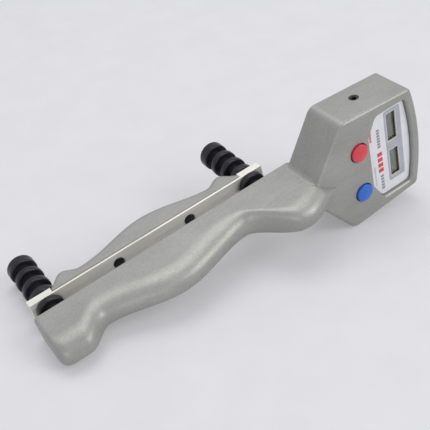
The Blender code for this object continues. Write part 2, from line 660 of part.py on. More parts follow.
def build_board(mats):
    """Circuit board with its screws, the two button switches, a chip and a sounder."""
    back = BOARD_FRONT + BOARD_THICK
    board = make_object("circuit_board", block((BOARD_X[0], BOARD_FRONT, -BOARD_HALF),
                                               (BOARD_X[1], back, BOARD_HALF)), mats["board"])
    pieces = [board]
    for n, (x, z) in enumerate(spots(BOARD_SCREWS)):
        cut(board, rod(BOARD_SCREW[2] + GAP, BOARD_FRONT - THROUGH, back + THROUGH, x, z))
        pieces.append(cap_screw(f"board_screw_{n + 1}", mats["screw"], (x, back + GAP, z), BOARD_SCREW))
    side, seat = SWITCH_SIDE / 2, BOARD_FRONT - GAP
    for name, z in zip(("reset", "mode"), BUTTON_Z):
        switch = make_object(f"{name}_switch", block((BUTTON_X - side, seat - SWITCH_HEIGHT, z - side),
                                                     (BUTTON_X + side, seat, z + side)), mats["plastic"],
                             (BUTTON_X, seat, z))
        add(switch, rod(PLUNGER_RADIUS, seat - SWITCH_HEIGHT - PLUNGER_HEIGHT, seat - SWITCH_HEIGHT / 2,
                        BUTTON_X, z))
        pieces.append(switch)
    x, z = CHIP_CENTRE
    wide, thick, tall = CHIP_SIZE
    pieces.append(make_object("controller_chip", block((x - wide / 2, back + GAP, z - tall / 2),
                                                       (x + wide / 2, back + GAP + thick, z + tall / 2), 0.2 * MM),
                              mats["plastic"], (x, back + GAP, z)))
    x, z = SOUNDER_CENTRE
    pieces.append(make_object("sounder", rod(SOUNDER_RADIUS, back + GAP, back + GAP + SOUNDER_HEIGHT, x, z),
                              mats["plastic"], (x, back + GAP, z)))
    return pieces


def build_batteries(mats):
    """Open holder on the board's back with two cells lying in it, head to tail."""
    holder = make_object("battery_holder", block((HOLDER_X[0], BOARD_FRONT + BOARD_THICK + GAP, -HOLDER_HALF),
                                                 (HOLDER_X[1], HOLDER_TOP, HOLDER_HALF)), mats["plastic"])
    bay = CELL_LENGTH / 2 + 1.0 * MM
    for x in CELL_X:
        cut(holder, cross_rod(CELL_RADIUS + GAP, bay, x, CELL_Y, ROUND))
    floor = CELL_Y - CELL_RADIUS + HOLDER_FLOOR
    cut(holder, block((CELL_X[0], floor, -bay), (CELL_X[1], HOLDER_TOP + THROUGH, bay)))
    half = CELL_LENGTH / 2
    nub, nub_height = CELL_NUB
    chamfer = 0.5 * MM
    profile = ((-half, 0.0), (-half, CELL_RADIUS * 0.9), (-half + chamfer, CELL_RADIUS),
               (half - nub_height - chamfer, CELL_RADIUS), (half - nub_height, CELL_RADIUS * 0.85),
               (half - nub_height, nub), (half, nub), (half, 0.0))
    cells = []
    for n, (x, way) in enumerate(zip(CELL_X, (-1.0, 1.0))):
        cells.append(make_object(f"battery_cell_{n + 1}",
                                 turned([(way * along, r) for along, r in profile], (x, CELL_Y, 0.0), "Z"),
                                 mats["cell"], (x, CELL_Y, 0.0)))
    return [holder] + cells


def build_socket(mat):
    """Round data socket: a sleeve through the wall and a wider body inside."""
    end, shoulder, mouth = JACK_Z
    jack = make_object("data_socket", turned(((end, 0.0), (end, JACK_BODY), (shoulder, JACK_BODY),
                                              (shoulder, JACK_SLEEVE), (mouth, JACK_SLEEVE), (mouth, 0.0)),
                                             (JACK_X, JACK_Y, 0.0), "Z"), mat)
    blind = end + JACK_BLIND
    cut(jack, turned(((blind, 0.0), (blind, JACK_BORE), (mouth + THROUGH, JACK_BORE), (mouth + THROUGH, 0.0)),
                     (JACK_X, JACK_Y, 0.0), "Z", SMALL_ROUND))
    return jack


# ---------------------------------------------------------------- load cells and posts

def tube(points, radius, steps=8):
    """Round cable that follows a line of points."""
    rings = []
    for i, point in enumerate(points):
        ahead = Vector(points[min(i + 1, len(points) - 1)]) - Vector(points[max(i - 1, 0)])
        side = ahead.cross(Vector((0.0, 1.0, 0.0))).normalized()
        up = side.cross(ahead).normalized()
        rings.append([Vector(point) + radius * (side * math.cos(a) + up * math.sin(a))
                      for a in (2 * math.pi * k / steps for k in range(steps))])
    return skin(rings)


def build_load_cell(name, post, anchor, mats):
    """Bending beam that carries one post at its outer end and is bolted down at its inner end."""
    inward = 1.0 if anchor > post else -1.0
    ends = sorted((post - inward * BEAM_OVERHANG, post + inward * (BEAM_LENGTH - BEAM_OVERHANG)))
    beam = make_object(f"load_cell_{name}", block((ends[0], BEAM_FRONT, -BEAM_HALF),
                                                  (ends[1], BEAM_BACK, BEAM_HALF)), mats["beam"],
                       (post, BEAM_BACK, 0.0))
    add(beam, block((anchor - BEAM_FOOT / 2, CHANNEL_FLOOR + GAP, -BEAM_HALF),
                    (anchor + BEAM_FOOT / 2, BEAM_FRONT + THROUGH, BEAM_FOOT_TOP)))
    middle = (BEAM_FRONT + BEAM_BACK) / 2
    reach = BEAM_HALF * 2
    spans = [post + inward * step for step in FLEXURES]
    for x in spans:
        cut(beam, cross_rod(FLEXURE_BORE, reach, x, middle))
    cut(beam, block((min(spans), middle - FLEXURE_SLOT, -reach), (max(spans), middle + FLEXURE_SLOT, reach)))
    cut(beam, rod(POST_SHANK + GAP, BEAM_FRONT - THROUGH, BEAM_BACK + THROUGH, post, 0.0))
    cut(beam, rod(ANCHOR_SCREW[2] + GAP, CHANNEL_FLOOR - THROUGH, BEAM_BACK + THROUGH, anchor, 0.0))
    pieces = [beam, cap_screw(f"anchor_screw_{name}", mats["screw"], (anchor, BEAM_BACK + GAP, 0.0), ANCHOR_SCREW)]
    long, wide = GAUGE_SIZE[0] / 2, GAUGE_SIZE[1] / 2
    for n, x in enumerate(spans):
        pieces.append(make_object(f"strain_gauge_{name}_{n + 1}",
                                  block((x - long, BEAM_BACK + GAP, -wide), (x + long, BEAM_BACK + 2 * GAP, wide)),
                                  mats["film"], (x, BEAM_BACK + GAP, 0.0)))
    return pieces


def build_cable(mat):
    """Signal cable from the load cells to the board, lying in its groove under the beams."""
    y, z = CHANNEL_FLOOR - WIRE_WAY_DEPTH / 2, sum(WIRE_WAY) / 2
    line = [(x, y, z) for x in WIRE_X]
    for k in range(1, WIRE_BEND_STEPS + 1):
        t = k / WIRE_BEND_STEPS
        line.append((WIRE_X[-1] + WIRE_BEND[0] * t, y + WIRE_BEND[1] * t * t, z + WIRE_BEND[2] * t))
    return make_object("signal_cable", tube(line, WIRE_RADIUS), mat, line[0])


def post_profile():
    """Post from the shank in the load cell, past the grooves, to the end cap."""
    shoulder = BEAM_BACK + GAP
    profile = [(SHANK_END, 0.0), (SHANK_END, POST_SHANK - POST_TIP), (SHANK_END + POST_TIP, POST_SHANK),
               (shoulder, POST_SHANK), (shoulder, POST_CORE)]
    starts = [FIRST_RING + GROOVE_PITCH * k for k in range(RING_COUNT + 1)]
    ends = [start + RING_THICK for start in starts[:-1]] + [POST_END]
    near = RING_EDGE / 2
    for low, high in zip(starts, ends):
        profile += [(low, POST_CORE), (low, POST_RING - near), (low + near, POST_RING)]
        profile += [(high - RING_EDGE * (1 - math.sin(a)), POST_RING - RING_EDGE * (1 - math.cos(a)))
                    for a in (quarter(k, 2) for k in range(3))]
        profile.append((high, POST_CORE if high < POST_END else 0.0))
    return profile


# ---------------------------------------------------------------- finger bar

def grip_depth(x):
    """Height of the grip over the bar's front: a long swell and a lobe near each rounded end."""
    middle = sum(POST_X) / 2
    offset, half, rise = GRIP_LOBE
    depth = GRIP_BASE + swell(x, *GRIP_SWELL)
    depth += sum(swell(x, middle + side * offset, half, rise) for side in (-1.0, 1.0))
    near = middle - TAB_INNER + GRIP_TOE - abs(x - middle)
    short = 1.0 - min(near / GRIP_END_ROUND, 1.0)
    return depth * math.sqrt(max(1.0 - short * short, 0.0))


def hook_opening(x, radius):
    """Arch round a post, open downwards so that the bar can be lifted off."""
    arch = [(x + radius * math.cos(2 * a), radius * math.sin(2 * a))
            for a in (quarter(k, HOOK_STEPS) for k in range(HOOK_STEPS + 1))]
    foot = -GRIP_HALF - THROUGH
    return arch + [(x - radius, foot), (x + radius, foot)]


def build_finger_bar(mats):
    """Flat bar with a downward-open hook at each end, and the contoured finger grip on its back."""
    middle = sum(POST_X) / 2
    origin = (middle, BAR_THICK / 2, 0.0)
    bar = make_object("grip_bar", block((BAR_X[0], 0.0, -BAR_HALF), (BAR_X[1], BAR_THICK, BAR_HALF), BAR_EDGE),
                      mats["bright"], origin)
    side = BAR_HALF + THROUGH
    cut(bar, block((POST_X[0] + TAB_INNER, BAR_WEB, -side), (POST_X[1] - TAB_INNER, BAR_THICK + THROUGH, side)))
    for x in POST_X:
        cut(bar, prism(hook_opening(x, POST_CORE + GAP), -THROUGH, BAR_THICK + THROUGH))

    start = POST_X[0] + TAB_INNER + GAP
    span = POST_X[1] - POST_X[0] - 2 * (TAB_INNER + GAP)
    near_face = BAR_WEB + GAP
    rings = []
    for k in range(GRIP_STEPS + 1):
        x = start + span * 0.5 * (1.0 - math.cos(math.pi * k / GRIP_STEPS))
        depth = grip_depth(x)
        radius = min(GRIP_RADIUS, (depth - near_face) * 0.6)
        half = GRIP_HALF - (GRIP_TIP if k in (0, GRIP_STEPS) else 0.0)
        rings.append([(x, y, z) for y, z in grip_section(half, near_face, depth, radius)])
    grip = make_object("finger_grip", skin(rings), mats["body"], origin)
    for x in POST_X:
        cut(grip, prism(hook_opening(x, POST_RING + GAP), near_face - THROUGH, POST_END))

    sink, sink_depth = GRIP_SINK
    bore = GRIP_SCREW[2] + GAP
    pieces = [bar, grip]
    for n, x in enumerate(GRIP_SCREW_X):
        cut(bar, stepped_hole(BAR_WEB + THROUGH, sink_depth, -THROUGH, bore, sink, x, 0.0))
        cut(grip, rod(bore, near_face - THROUGH, near_face + GRIP_SCREW[3] - GAP, x, 0.0))
        pieces.append(cap_screw(f"grip_screw_{n + 1}", mats["screw"], (x, sink_depth - GAP / 2, 0.0),
                                GRIP_SCREW, -1.0))
    return pieces


# ---------------------------------------------------------------- assembly

def resting_lean():
    """Tilt at which the lowest point of the head and that of the handle stand on one level."""
    head = [Vector(point) for point in head_outline()]
    handle = [Vector((x, z)) for ring in handle_rings() for x, _y, z in ring if x < POST_X[1]]
    lean = 0.0
    for _ in range(8):
        down = Vector((math.sin(lean), math.cos(lean)))
        step = min(head, key=down.dot) - min(handle, key=down.dot)
        lean = math.atan2(-step.y, step.x)
    return lean


def settle(objects):
    """Tip the instrument onto its resting points and centre it over the origin."""
    rest = bpy.data.objects.new("rest_frame", None)
    bpy.context.scene.collection.objects.link(rest)
    rest.rotation_euler = (0.0, -resting_lean(), 0.0)
    for obj in objects:
        obj.parent = rest
    bpy.context.view_layer.update()
    corners = [obj.matrix_world @ v.co for obj in objects for v in obj.data.vertices]
    low = [min(c[i] for c in corners) for i in range(3)]
    high = [max(c[i] for c in corners) for i in range(3)]
    rest.location = (-(low[0] + high[0]) / 2, -(low[1] + high[1]) / 2, -low[2])


def main():
    for obj in list(bpy.data.objects):
        bpy.data.objects.remove(obj)
    mats = {
        "body": new_material("blasted_alloy", (0.38, 0.38, 0.36), 0.5, 0.6),
        "cover": new_material("cover_alloy", (0.33, 0.33, 0.32), 0.5, 0.6),
        "bright": new_material("machined_alloy", (0.62, 0.61, 0.57), 0.3, 0.9),
        "beam": new_material("load_cell_alloy", (0.6, 0.6, 0.6), 0.35, 0.9),
        "post": new_material("black_post", (0.012, 0.012, 0.016), 0.28, 0.0),
        "screw": new_material("black_steel", (0.03, 0.03, 0.03), 0.35, 0.8),
        "label": new_material("label_plate", (0.75, 0.76, 0.79), 0.4, 0.0),
        "lens": new_material("clear_lens", (0.8, 0.83, 0.82), 0.08, 0.0),
        "lcd": new_material("display_cell", (0.16, 0.18, 0.165), 0.25, 0.0),
        "red": new_material("red_button", (0.6, 0.04, 0.05), 0.35, 0.0),
        "blue": new_material("blue_button", (0.02, 0.13, 0.56), 0.35, 0.0),
        "board": new_material("circuit_board", (0.03, 0.16, 0.06), 0.45, 0.0),
        "plastic": new_material("black_plastic", (0.02, 0.02, 0.022), 0.45, 0.0),
        "cell": new_material("cell_jacket", (0.05, 0.05, 0.06), 0.35, 0.2),
        "film": new_material("gauge_film", (0.55, 0.33, 0.1), 0.4, 0.0),
        "wire": new_material("cable_sheath", (0.05, 0.05, 0.05), 0.5, 0.0),
    }
    pieces = [build_body(mats["body"])]
    pieces += build_covers(mats["cover"], mats["screw"])
    pieces += build_display(mats)
    pieces.append(build_button("reset_button", mats["red"], BUTTON_Z[0]))
    pieces.append(build_button("mode_button", mats["blue"], BUTTON_Z[1]))
    pieces += build_board(mats)
    pieces += build_batteries(mats)
    pieces.append(build_socket(mats["plastic"]))
    for name, post, anchor in zip(("lower", "upper"), POST_X, anchor_stations()):
        pieces += build_load_cell(name, post, anchor, mats)
        pieces.append(make_object(f"post_{name}", turned(post_profile(), (post, 0.0, 0.0)), mats["post"],
                                  (post, 0.0, 0.0)))
    pieces.append(build_cable(mats["wire"]))
    pieces += build_finger_bar(mats)
    settle(pieces)


main()
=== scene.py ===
"""Looks of the hand-grip strength gauge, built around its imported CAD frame.

Shapes are drawn in the instrument's own frame (X along the handle, display towards -Y, the handle's
thickness along Z) and then laid down exactly where the CAD has them.
"""

import math

import bmesh
import bpy
from mathutils import Matrix, Vector


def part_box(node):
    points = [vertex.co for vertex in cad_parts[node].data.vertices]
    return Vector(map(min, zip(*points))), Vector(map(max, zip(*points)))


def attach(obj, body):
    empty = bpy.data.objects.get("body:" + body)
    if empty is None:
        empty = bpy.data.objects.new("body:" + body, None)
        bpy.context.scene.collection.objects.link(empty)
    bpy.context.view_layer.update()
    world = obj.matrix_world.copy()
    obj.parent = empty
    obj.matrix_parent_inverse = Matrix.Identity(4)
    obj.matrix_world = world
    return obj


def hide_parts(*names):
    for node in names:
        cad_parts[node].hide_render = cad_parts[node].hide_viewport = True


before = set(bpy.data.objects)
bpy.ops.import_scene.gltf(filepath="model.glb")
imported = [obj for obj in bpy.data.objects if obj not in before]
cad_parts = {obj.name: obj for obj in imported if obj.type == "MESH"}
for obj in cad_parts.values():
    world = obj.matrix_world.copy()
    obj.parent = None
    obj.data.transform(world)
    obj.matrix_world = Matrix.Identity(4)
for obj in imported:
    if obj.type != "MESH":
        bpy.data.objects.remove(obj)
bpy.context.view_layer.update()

MM = 0.001
GAP = 0.3 * MM                      # clearance between pieces that fit together
THROUGH = 1.0 * MM                  # how far a cutter runs past the surface it opens

# ---------------------------------------------------------------- driving sizes

# Grooved posts; places along them are measured from the finger bar's front face
POST_SPACING = 127.0 * MM
POST_X = (0.0, POST_SPACING)
POST_END = 40.0 * MM
POST_RING = 7.8 * MM
POST_CORE = 4.6 * MM
POST_SHANK = 3.0 * MM
POST_TIP = 0.4 * MM
SHANK_END = -20.0 * MM
SHANK_SHOULDER = -14.2 * MM
GROOVE_PITCH = 9.5 * MM
RING_THICK = 4.2 * MM
FIRST_RING = -4.5 * MM
RING_COUNT = 4
RING_LIP = 1.1 * MM                 # rounding of a ring's edge towards the cap
RING_HEEL = 0.9 * MM                # and towards the handle
RING_ROOT = 0.5 * MM                # fillet where a ring meets the core

# Handle
HEEL_X = -11.3 * MM
HANDLE_HALF = 8.0 * MM
HANDLE_BACK = -9.8 * MM
PALM_REACH = 13.0 * MM              # length over which the palm side rounds off
PALM_FULLNESS = 2.2                 # 2 is an ellipse, more is squarer
SCOOP = (112.0 * MM, 24.0 * MM)     # thumb hollow: centre and half length
SCOOP_REACH = 6.5 * MM              # how much crisper the rounding gets there
SCOOP_DEPTH = 2.0 * MM
BACK_RADIUS = 0.8 * MM
BASE_DEPTH = 31.0 * MM
HEEL_DEPTH = 40.8 * MM
HEEL_SHOULDER = (3.5 * MM, 19.0 * MM)
HEEL_CORNER = 6.0 * MM
HEEL_EDGE = 2.0 * MM
PALM_SWELL = (59.5 * MM, 43.0 * MM, 9.4 * MM)      # centre, half length, rise
HORN_RISE = (103.5 * MM, 128.5 * MM)
HORN_DEPTH = 50.2 * MM
NOSE_START = 131.0 * MM
NOSE_NARROW = 146.0 * MM
NOSE_END = 157.0 * MM
NOSE_TAPER = 1.25
NOSE_DEPTH = 38.6 * MM
NOSE_FADE = 5.0 * MM
NOSE_TIP_HALF = 0.4 * MM
NOSE_BACK_DROP = 9.3 * MM
NOSE_BACK_SPAN = (148.0 * MM, 156.0 * MM)

# Head
HEAD_BACK = -13.1 * MM
HEAD_FRONT = -39.1 * MM
HEAD_FOOT = (143.4 * MM, 5.8 * MM)
HEAD_SHOULDER = (164.8 * MM, 36.0 * MM)
HEAD_CREST = (212.2 * MM, 32.6 * MM)
HEAD_BOW = 4.0 * MM
SHOULDER_RADIUS = 6.5 * MM
CREST_RADIUS = 3.4 * MM
HEAD_FRONT_EDGE = 1.9 * MM
HEAD_BACK_EDGE = 0.8 * MM
WALL = 3.6 * MM
RIM = 1.8 * MM
POCKET_START = 12.0 * MM
COVER_START = 10.0 * MM
COVER_PLATE = 2.6 * MM
NECK_FILLET = 4.5 * MM
FILLET_BITE = 0.8 * MM              # how deep a fillet is rooted in its two walls

# Display recess, label plate, windows and print
RECESS_DEPTH = 3.6 * MM
RECESS_LIP = 0.7 * MM
FRONT_WALL = 2.5 * MM
PANEL_CENTRE = (196.2 * MM, 0.1 * MM)
PANEL_LENGTH = 28.7 * MM
PANEL_HALF = 27.6 * MM
PANEL_CORNER = (6.0 * MM, 11.0 * MM)
PANEL_BOW = 2.8 * MM
PANEL_ROUND = 4.0 * MM
PANEL_CREST_ROUND = 3.0 * MM
PANEL_THICK = 0.9 * MM
WINDOW_X = 199.0 * MM
WINDOW_Z = (14.5 * MM, -9.6 * MM)
WINDOW_SIZE = (6.6 * MM, 18.2 * MM)
LENS_SETBACK = 0.1 * MM
LENS_THICK = 0.6 * MM
LCD_SIZE = (9.4 * MM, 21.4 * MM)
SHADE_SHEET_LAYER = (0.1 * MM, 0.2 * MM)   # front and back of a black sheet behind the lens, painted shade for the deep window walls
SHADE_SHEET_X = (-4.0 * MM, 3.5 * MM)      # its opening, from the window's centre; tighter on the +X and +Z sides, where the sheet shows as a band of painted shade
SHADE_SHEET_Z = (-10.2 * MM, 9.2 * MM)
FRAME_X = (194.2 * MM, 205.6 * MM)
FRAME_Z = (-21.1 * MM, 25.8 * MM)
PRINT_THICK = 0.06 * MM

# Buttons
BUTTON_X = 173.9 * MM
BUTTON_Z = (12.7 * MM, -14.9 * MM)
BUTTON_RADIUS = 5.2 * MM
BUTTON_PROUD = 2.0 * MM
BUTTON_DOME = 0.6 * MM
BUTTON_EDGE = 0.7 * MM
BUTTON_CHAMFER = 0.35 * MM          # on the rim of the hole in the head
FLANGE_RADIUS = 6.4 * MM
FLANGE_THICK = 1.0 * MM
FLANGE_SEAT = 3.1 * MM
STEM_RADIUS = 1.4 * MM
STEM_LENGTH = 0.5 * MM

# Data socket
JACK_X = 186.5 * MM
JACK_Y = -23.8 * MM
JACK_SLEEVE = 2.5 * MM
JACK_HOLE = (27.0 * MM, 34.4 * MM, 37.0 * MM)      # inner end, start of the flare, past the side
JACK_FLARE = 2.6 * MM

# Back strip
COVER_HALF = 6.3 * MM
COVER_X = (-7.7 * MM, 141.0 * MM)
COVER_THICK = 2.3 * MM

# Screws: (x, z) in millimetres, and sizes as (head radius, head height, shank radius, length)
COVER_SCREWS = ((171.0, 28.2), (171.0, -28.2), (205.0, 25.6), (205.0, -25.6))
STRIP_SCREWS = ((57.5, 3.3), (69.5, -3.3), (138.0, 3.3), (138.0, -3.3))
COVER_SCREW = (2.4 * MM, 1.4 * MM, 1.1 * MM, 8.5 * MM)
STRIP_SCREW = (1.9 * MM, 1.2 * MM, 1.1 * MM, 6.0 * MM)
GRIP_SCREW = (3.2 * MM, 0.4 * MM, 1.5 * MM, 5.6 * MM)

# Finger bar and grip
BAR_X = (-9.2 * MM, 136.2 * MM)
BAR_THICK = 4.7 * MM
BAR_WEB = 1.1 * MM
BAR_HALF = 6.85 * MM
BAR_EDGE = 0.25 * MM
TAB_INNER = 4.6 * MM
GRIP_HALF = 7.4 * MM
GRIP_BASE = 8.4 * MM
GRIP_SWELL = (65.5 * MM, 42.0 * MM, 8.6 * MM)
GRIP_LOBE = (49.8 * MM, 9.5 * MM, 4.2 * MM)        # offset from the middle, half length, rise
GRIP_RADIUS = 4.2 * MM
GRIP_END_ROUND = 9.5 * MM
GRIP_TOE = 0.5 * MM                 # the rounding starts this far outside the grip's cut end
GRIP_TIP = 0.2 * MM
GRIP_SCREW_X = (41.8 * MM, 86.7 * MM)
GRIP_SINK = (3.6 * MM, 0.6 * MM)    # radius and depth of the screw recesses in the bar
GRIP_HOLE = 5.5 * MM                # depth of the screw holes in the grip

SMOOTH_ANGLE = math.radians(38.0)
WELD = 0.002 * MM                   # points closer than this are one point
ROUND = 72
FINE = 1.2 * MM         # spacing of the sections along a long shape


def instrument_frame():
    """Matrix from the instrument's frame to the row frame, read off the two posts."""
    lower = [Vector(corner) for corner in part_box("post_lower")]
    upper = [Vector(corner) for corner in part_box("post_upper")]
    low, high = (lower[0] + lower[1]) / 2, (upper[0] + upper[1]) / 2
    lean = math.atan2(high.z - low.z, high.x - low.x)
    origin = Vector((low.x, lower[1].y - POST_END, low.z))
    return Matrix.Translation(origin) @ Matrix.Rotation(-lean, 4, "Y"), lean


TO_ROW, LEAN = instrument_frame()


# ---------------------------------------------------------------- shape helpers

def piece(name, bm, mat, body, replaces=()):
    """Turn a bmesh drawn in the instrument frame into a finished piece riding on a body."""
    settle(raw_object(name, bm, mat), body, replaces)


def raw_object(name, bm, mat=None):
    """Object from a bmesh, still in the instrument frame and not yet on a body."""
    bmesh.ops.remove_doubles(bm, verts=bm.verts, dist=1e-7)
    bmesh.ops.recalc_face_normals(bm, faces=bm.faces)
    mesh = bpy.data.meshes.new(name)
    bm.to_mesh(mesh)
    bm.free()
    if mat is not None:
        mesh.materials.append(mat)
    obj = bpy.data.objects.new(name, mesh)
    bpy.context.scene.collection.objects.link(obj)
    return obj


def settle(obj, body, replaces=()):
    """Lay a drawn piece into the row frame, shade it, hang it on its body and hide the CAD parts it stands
    for.
    """
    obj.data.transform(TO_ROW)
    obj.data.shade_smooth()
    obj.data.set_sharp_from_angle(angle=SMOOTH_ANGLE)
    even = obj.modifiers.new("even_shading", "WEIGHTED_NORMAL")
    even.keep_sharp = True
    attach(obj, body)
    if replaces:
        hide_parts(*replaces)


def combine(obj, bm, operation):
    """Exact boolean of the object with a tool shape, baked into its mesh."""
    tool = raw_object("tool", bm)
    modifier = obj.modifiers.new("cut", "BOOLEAN")
    modifier.operation = operation
    modifier.solver = "EXACT"
    modifier.object = tool
    bpy.context.view_layer.update()
    result = bpy.data.meshes.new_from_object(obj.evaluated_get(bpy.context.evaluated_depsgraph_get()))
    obj.modifiers.remove(modifier)
    old, obj.data = obj.data, result
    bpy.data.meshes.remove(old)
    tool_mesh = tool.data
    bpy.data.objects.remove(tool)
    bpy.data.meshes.remove(tool_mesh)
    tidy = bmesh.new()
    tidy.from_mesh(result)
    bmesh.ops.remove_doubles(tidy, verts=tidy.verts, dist=WELD)
    bmesh.ops.dissolve_degenerate(tidy, edges=tidy.edges, dist=WELD)
    tidy.to_mesh(result)
    tidy.free()


def cut(obj, bm):
    """Take a tool shape away from the object."""
    combine(obj, bm, "DIFFERENCE")


def add(obj, bm):
    """Join a tool shape to the object."""
    combine(obj, bm, "UNION")


def block(low, high, edge=0.0, segments=2):
    """Box between two corners; `edge` rounds every edge a little."""
    bm = bmesh.new()
    size = [b - a for a, b in zip(low, high)]
    middle = [(a + b) / 2 for a, b in zip(low, high)]
    bmesh.ops.create_cube(bm, size=1.0, matrix=Matrix.Translation(middle) @ Matrix.Diagonal((*size, 1.0)))
    if edge:
        bmesh.ops.bevel(bm, geom=bm.edges[:], offset=edge, segments=segments, profile=0.5, affect="EDGES")
    return bm


def extrude(bm, outline, y_low, y_high):
    """Add the solid between two copies of an (x, z) outline to a bmesh."""
    face = bm.faces.new([bm.verts.new((x, y_low, z)) for x, z in outline])
    grown = bmesh.ops.extrude_face_region(bm, geom=[face])
    bmesh.ops.translate(bm, verts=[v for v in grown["geom"] if isinstance(v, bmesh.types.BMVert)],
                        vec=(0.0, y_high - y_low, 0.0))


def prism(outline, y_low, y_high, low_edge=0.0, high_edge=0.0, segments=5):
    """(x, z) outline extruded along Y, with its two end rims rounded."""
    bm = bmesh.new()
    extrude(bm, outline, y_low, y_high)
    for y, edge in ((y_low, low_edge), (y_high, high_edge)):
        if edge:
            rim = [e for e in bm.edges if all(abs(v.co.y - y) < WELD for v in e.verts)]
            bmesh.ops.bevel(bm, geom=rim, offset=edge, segments=segments, profile=0.5, affect="EDGES")
    return bm


def skin(rings):
    """Join equal rings of points into a closed surface with flat ends."""
    bm = bmesh.new()
    loops = [[bm.verts.new(point) for point in ring] for ring in rings]
    for low, high in zip(loops, loops[1:]):
        for i in range(len(low)):
            j = (i + 1) % len(low)
            bm.faces.new((low[i], low[j], high[j], high[i]))
    bm.faces.new(loops[0])
    bm.faces.new(loops[-1])
    return bm


def flared_prism(outline, wide_outline, y_lip, y_mid, y_floor):
    """Pocket cutter whose mouth opens out to a wider outline, leaving a chamfered lip."""
    beyond = y_lip - (y_mid - y_lip)
    far = [(2 * w[0] - n[0], 2 * w[1] - n[1]) for w, n in zip(wide_outline, outline)]
    return skin([[(x, beyond, z) for x, z in far], [(x, y_mid, z) for x, z in outline],
                 [(x, y_floor, z) for x, z in outline]])


def turned(profile, centre, axis="Y", steps=ROUND):
    """Solid of revolution from (distance along the axis, radius) pairs."""
    bm = bmesh.new()
    rings = []
    for along, radius in profile:
        if radius <= 0.0:
            rings.append([bm.verts.new((0.0, along, 0.0))])
        else:
            turns = [2 * math.pi * i / steps for i in range(steps)]
            rings.append([bm.verts.new((radius * math.cos(a), along, radius * math.sin(a))) for a in turns])
    for low, high in zip(rings, rings[1:]):
        for i in range(steps):
            j = (i + 1) % steps
            if len(low) == 1:
                bm.faces.new((low[0], high[j], high[i]))
            elif len(high) == 1:
                bm.faces.new((low[i], low[j], high[0]))
            else:
                bm.faces.new((low[i], low[j], high[j], high[i]))
    turn = Matrix.Rotation(math.radians(90), 4, "X") if axis == "Z" else Matrix.Identity(4)
    bmesh.ops.transform(bm, matrix=Matrix.Translation(centre) @ turn, verts=bm.verts)
    return bm


def rod(radius, low, high, x, z):
    """Plain cylinder along Y."""
    return turned(((low, 0.0), (low, radius), (high, radius), (high, 0.0)), (x, 0.0, z))


def stepped_hole(levels, x, z):
    """Coaxial cylinders or cones along Y; `levels` lists (position, radius) from one end to the other."""
    profile = [(levels[0][0], 0.0)] + list(levels) + [(levels[-1][0], 0.0)]
    return turned(profile, (x, 0.0, z))


def corner_arc(before, corner, after, radius, steps):
    """Points of the arc that rounds a polygon's corner."""
    here = Vector(corner)
    back = (Vector(before) - here).normalized()
    ahead = (Vector(after) - here).normalized()
    half = back.angle(ahead) / 2
    centre = here + (back + ahead).normalized() * (radius / math.sin(half))
    start = here + back * (radius / math.tan(half)) - centre
    end = here + ahead * (radius / math.tan(half)) - centre
    sweep = start.angle_signed(end)
    return [centre + Matrix.Rotation(-sweep * k / steps, 2) @ start for k in range(steps + 1)]


def rounded_outline(points, radii, steps=8):
    """Replace each corner of a polygon that has a radius by an arc."""
    radii = radii if isinstance(radii, list) else [radii] * len(points)
    outline = []
    for i, point in enumerate(points):
        if radii[i] > 0.0:
            outline += [tuple(p) for p in corner_arc(points[i - 1], point, points[(i + 1) % len(points)],
                                                     radii[i], steps)]
        else:
            outline.append(point)
    return outline


def inset_outline(points, distances):
    """Offset every edge of a convex polygon inwards by its own distance."""
    middle = sum((Vector(p) for p in points), Vector((0.0, 0.0))) / len(points)
    lines = []
    for i, distance in enumerate(distances):
        a, b = Vector(points[i]), Vector(points[(i + 1) % len(points)])
        normal = Vector((b.y - a.y, a.x - b.x)).normalized()
        if normal.dot(middle - a) < 0:
            normal.negate()
        lines.append((normal, normal.dot(a) + distance))
    corners = []
    for i in range(len(points)):
        (n1, c1), (n2, c2) = lines[i - 1], lines[i]
        det = n1.x * n2.y - n1.y * n2.x
        corners.append(((c1 * n2.y - c2 * n1.y) / det, (n1.x * c2 - n2.x * c1) / det))
    return corners


def smooth_step(x, span):
    """Rise from 0 to 1 over the span, level at both ends."""
    t = min(max((x - span[0]) / (span[1] - span[0]), 0.0), 1.0)
    return t * t * (3.0 - 2.0 * t)


def swell(x, centre, half, rise):
    """Raised-cosine bump."""
    t = (x - centre) / half
    return rise * 0.5 * (1.0 + math.cos(math.pi * t)) if abs(t) < 1.0 else 0.0


def quarter(steps):
    """Angles that divide a quarter turn, both ends included."""
    return [math.pi / 2 * k / steps for k in range(steps + 1)]


def spots(table):
    """Places given in millimetres, in metres."""
    return [(x * MM, z * MM) for x, z in table]


def palm_section(half, back, front, reach=PALM_REACH):
    """Handle cross-section in YZ: flat back, straight sides and a fully rounded palm side."""
    corner = min(BACK_RADIUS, half * 0.45)
    reach = min(reach, (back - front) * 0.6)
    power = 2.0 / PALM_FULLNESS
    side = [(back - corner * (1 - math.cos(a)), half - corner + corner * math.sin(a))
            for a in quarter(4)]
    side += [(front + reach * (1 - math.sin(a) ** power), half * math.cos(a) ** power)
             for a in quarter(16)[:-1]]
    return side + [(front, 0.0)] + [(y, -z) for y, z in reversed(side)]


def grip_section(half, back, front, radius):
    """Grip cross-section in YZ: a rectangle whose finger side has round corners."""
    side = [(back, half - GRIP_TIP), (back + GRIP_TIP, half)]
    side += [(front - radius * (1 - math.sin(a)), half - radius * (1 - math.cos(a)))
             for a in quarter(10)]
    return side + [(y, -z) for y, z in reversed(side)]


# ---------------------------------------------------------------- materials

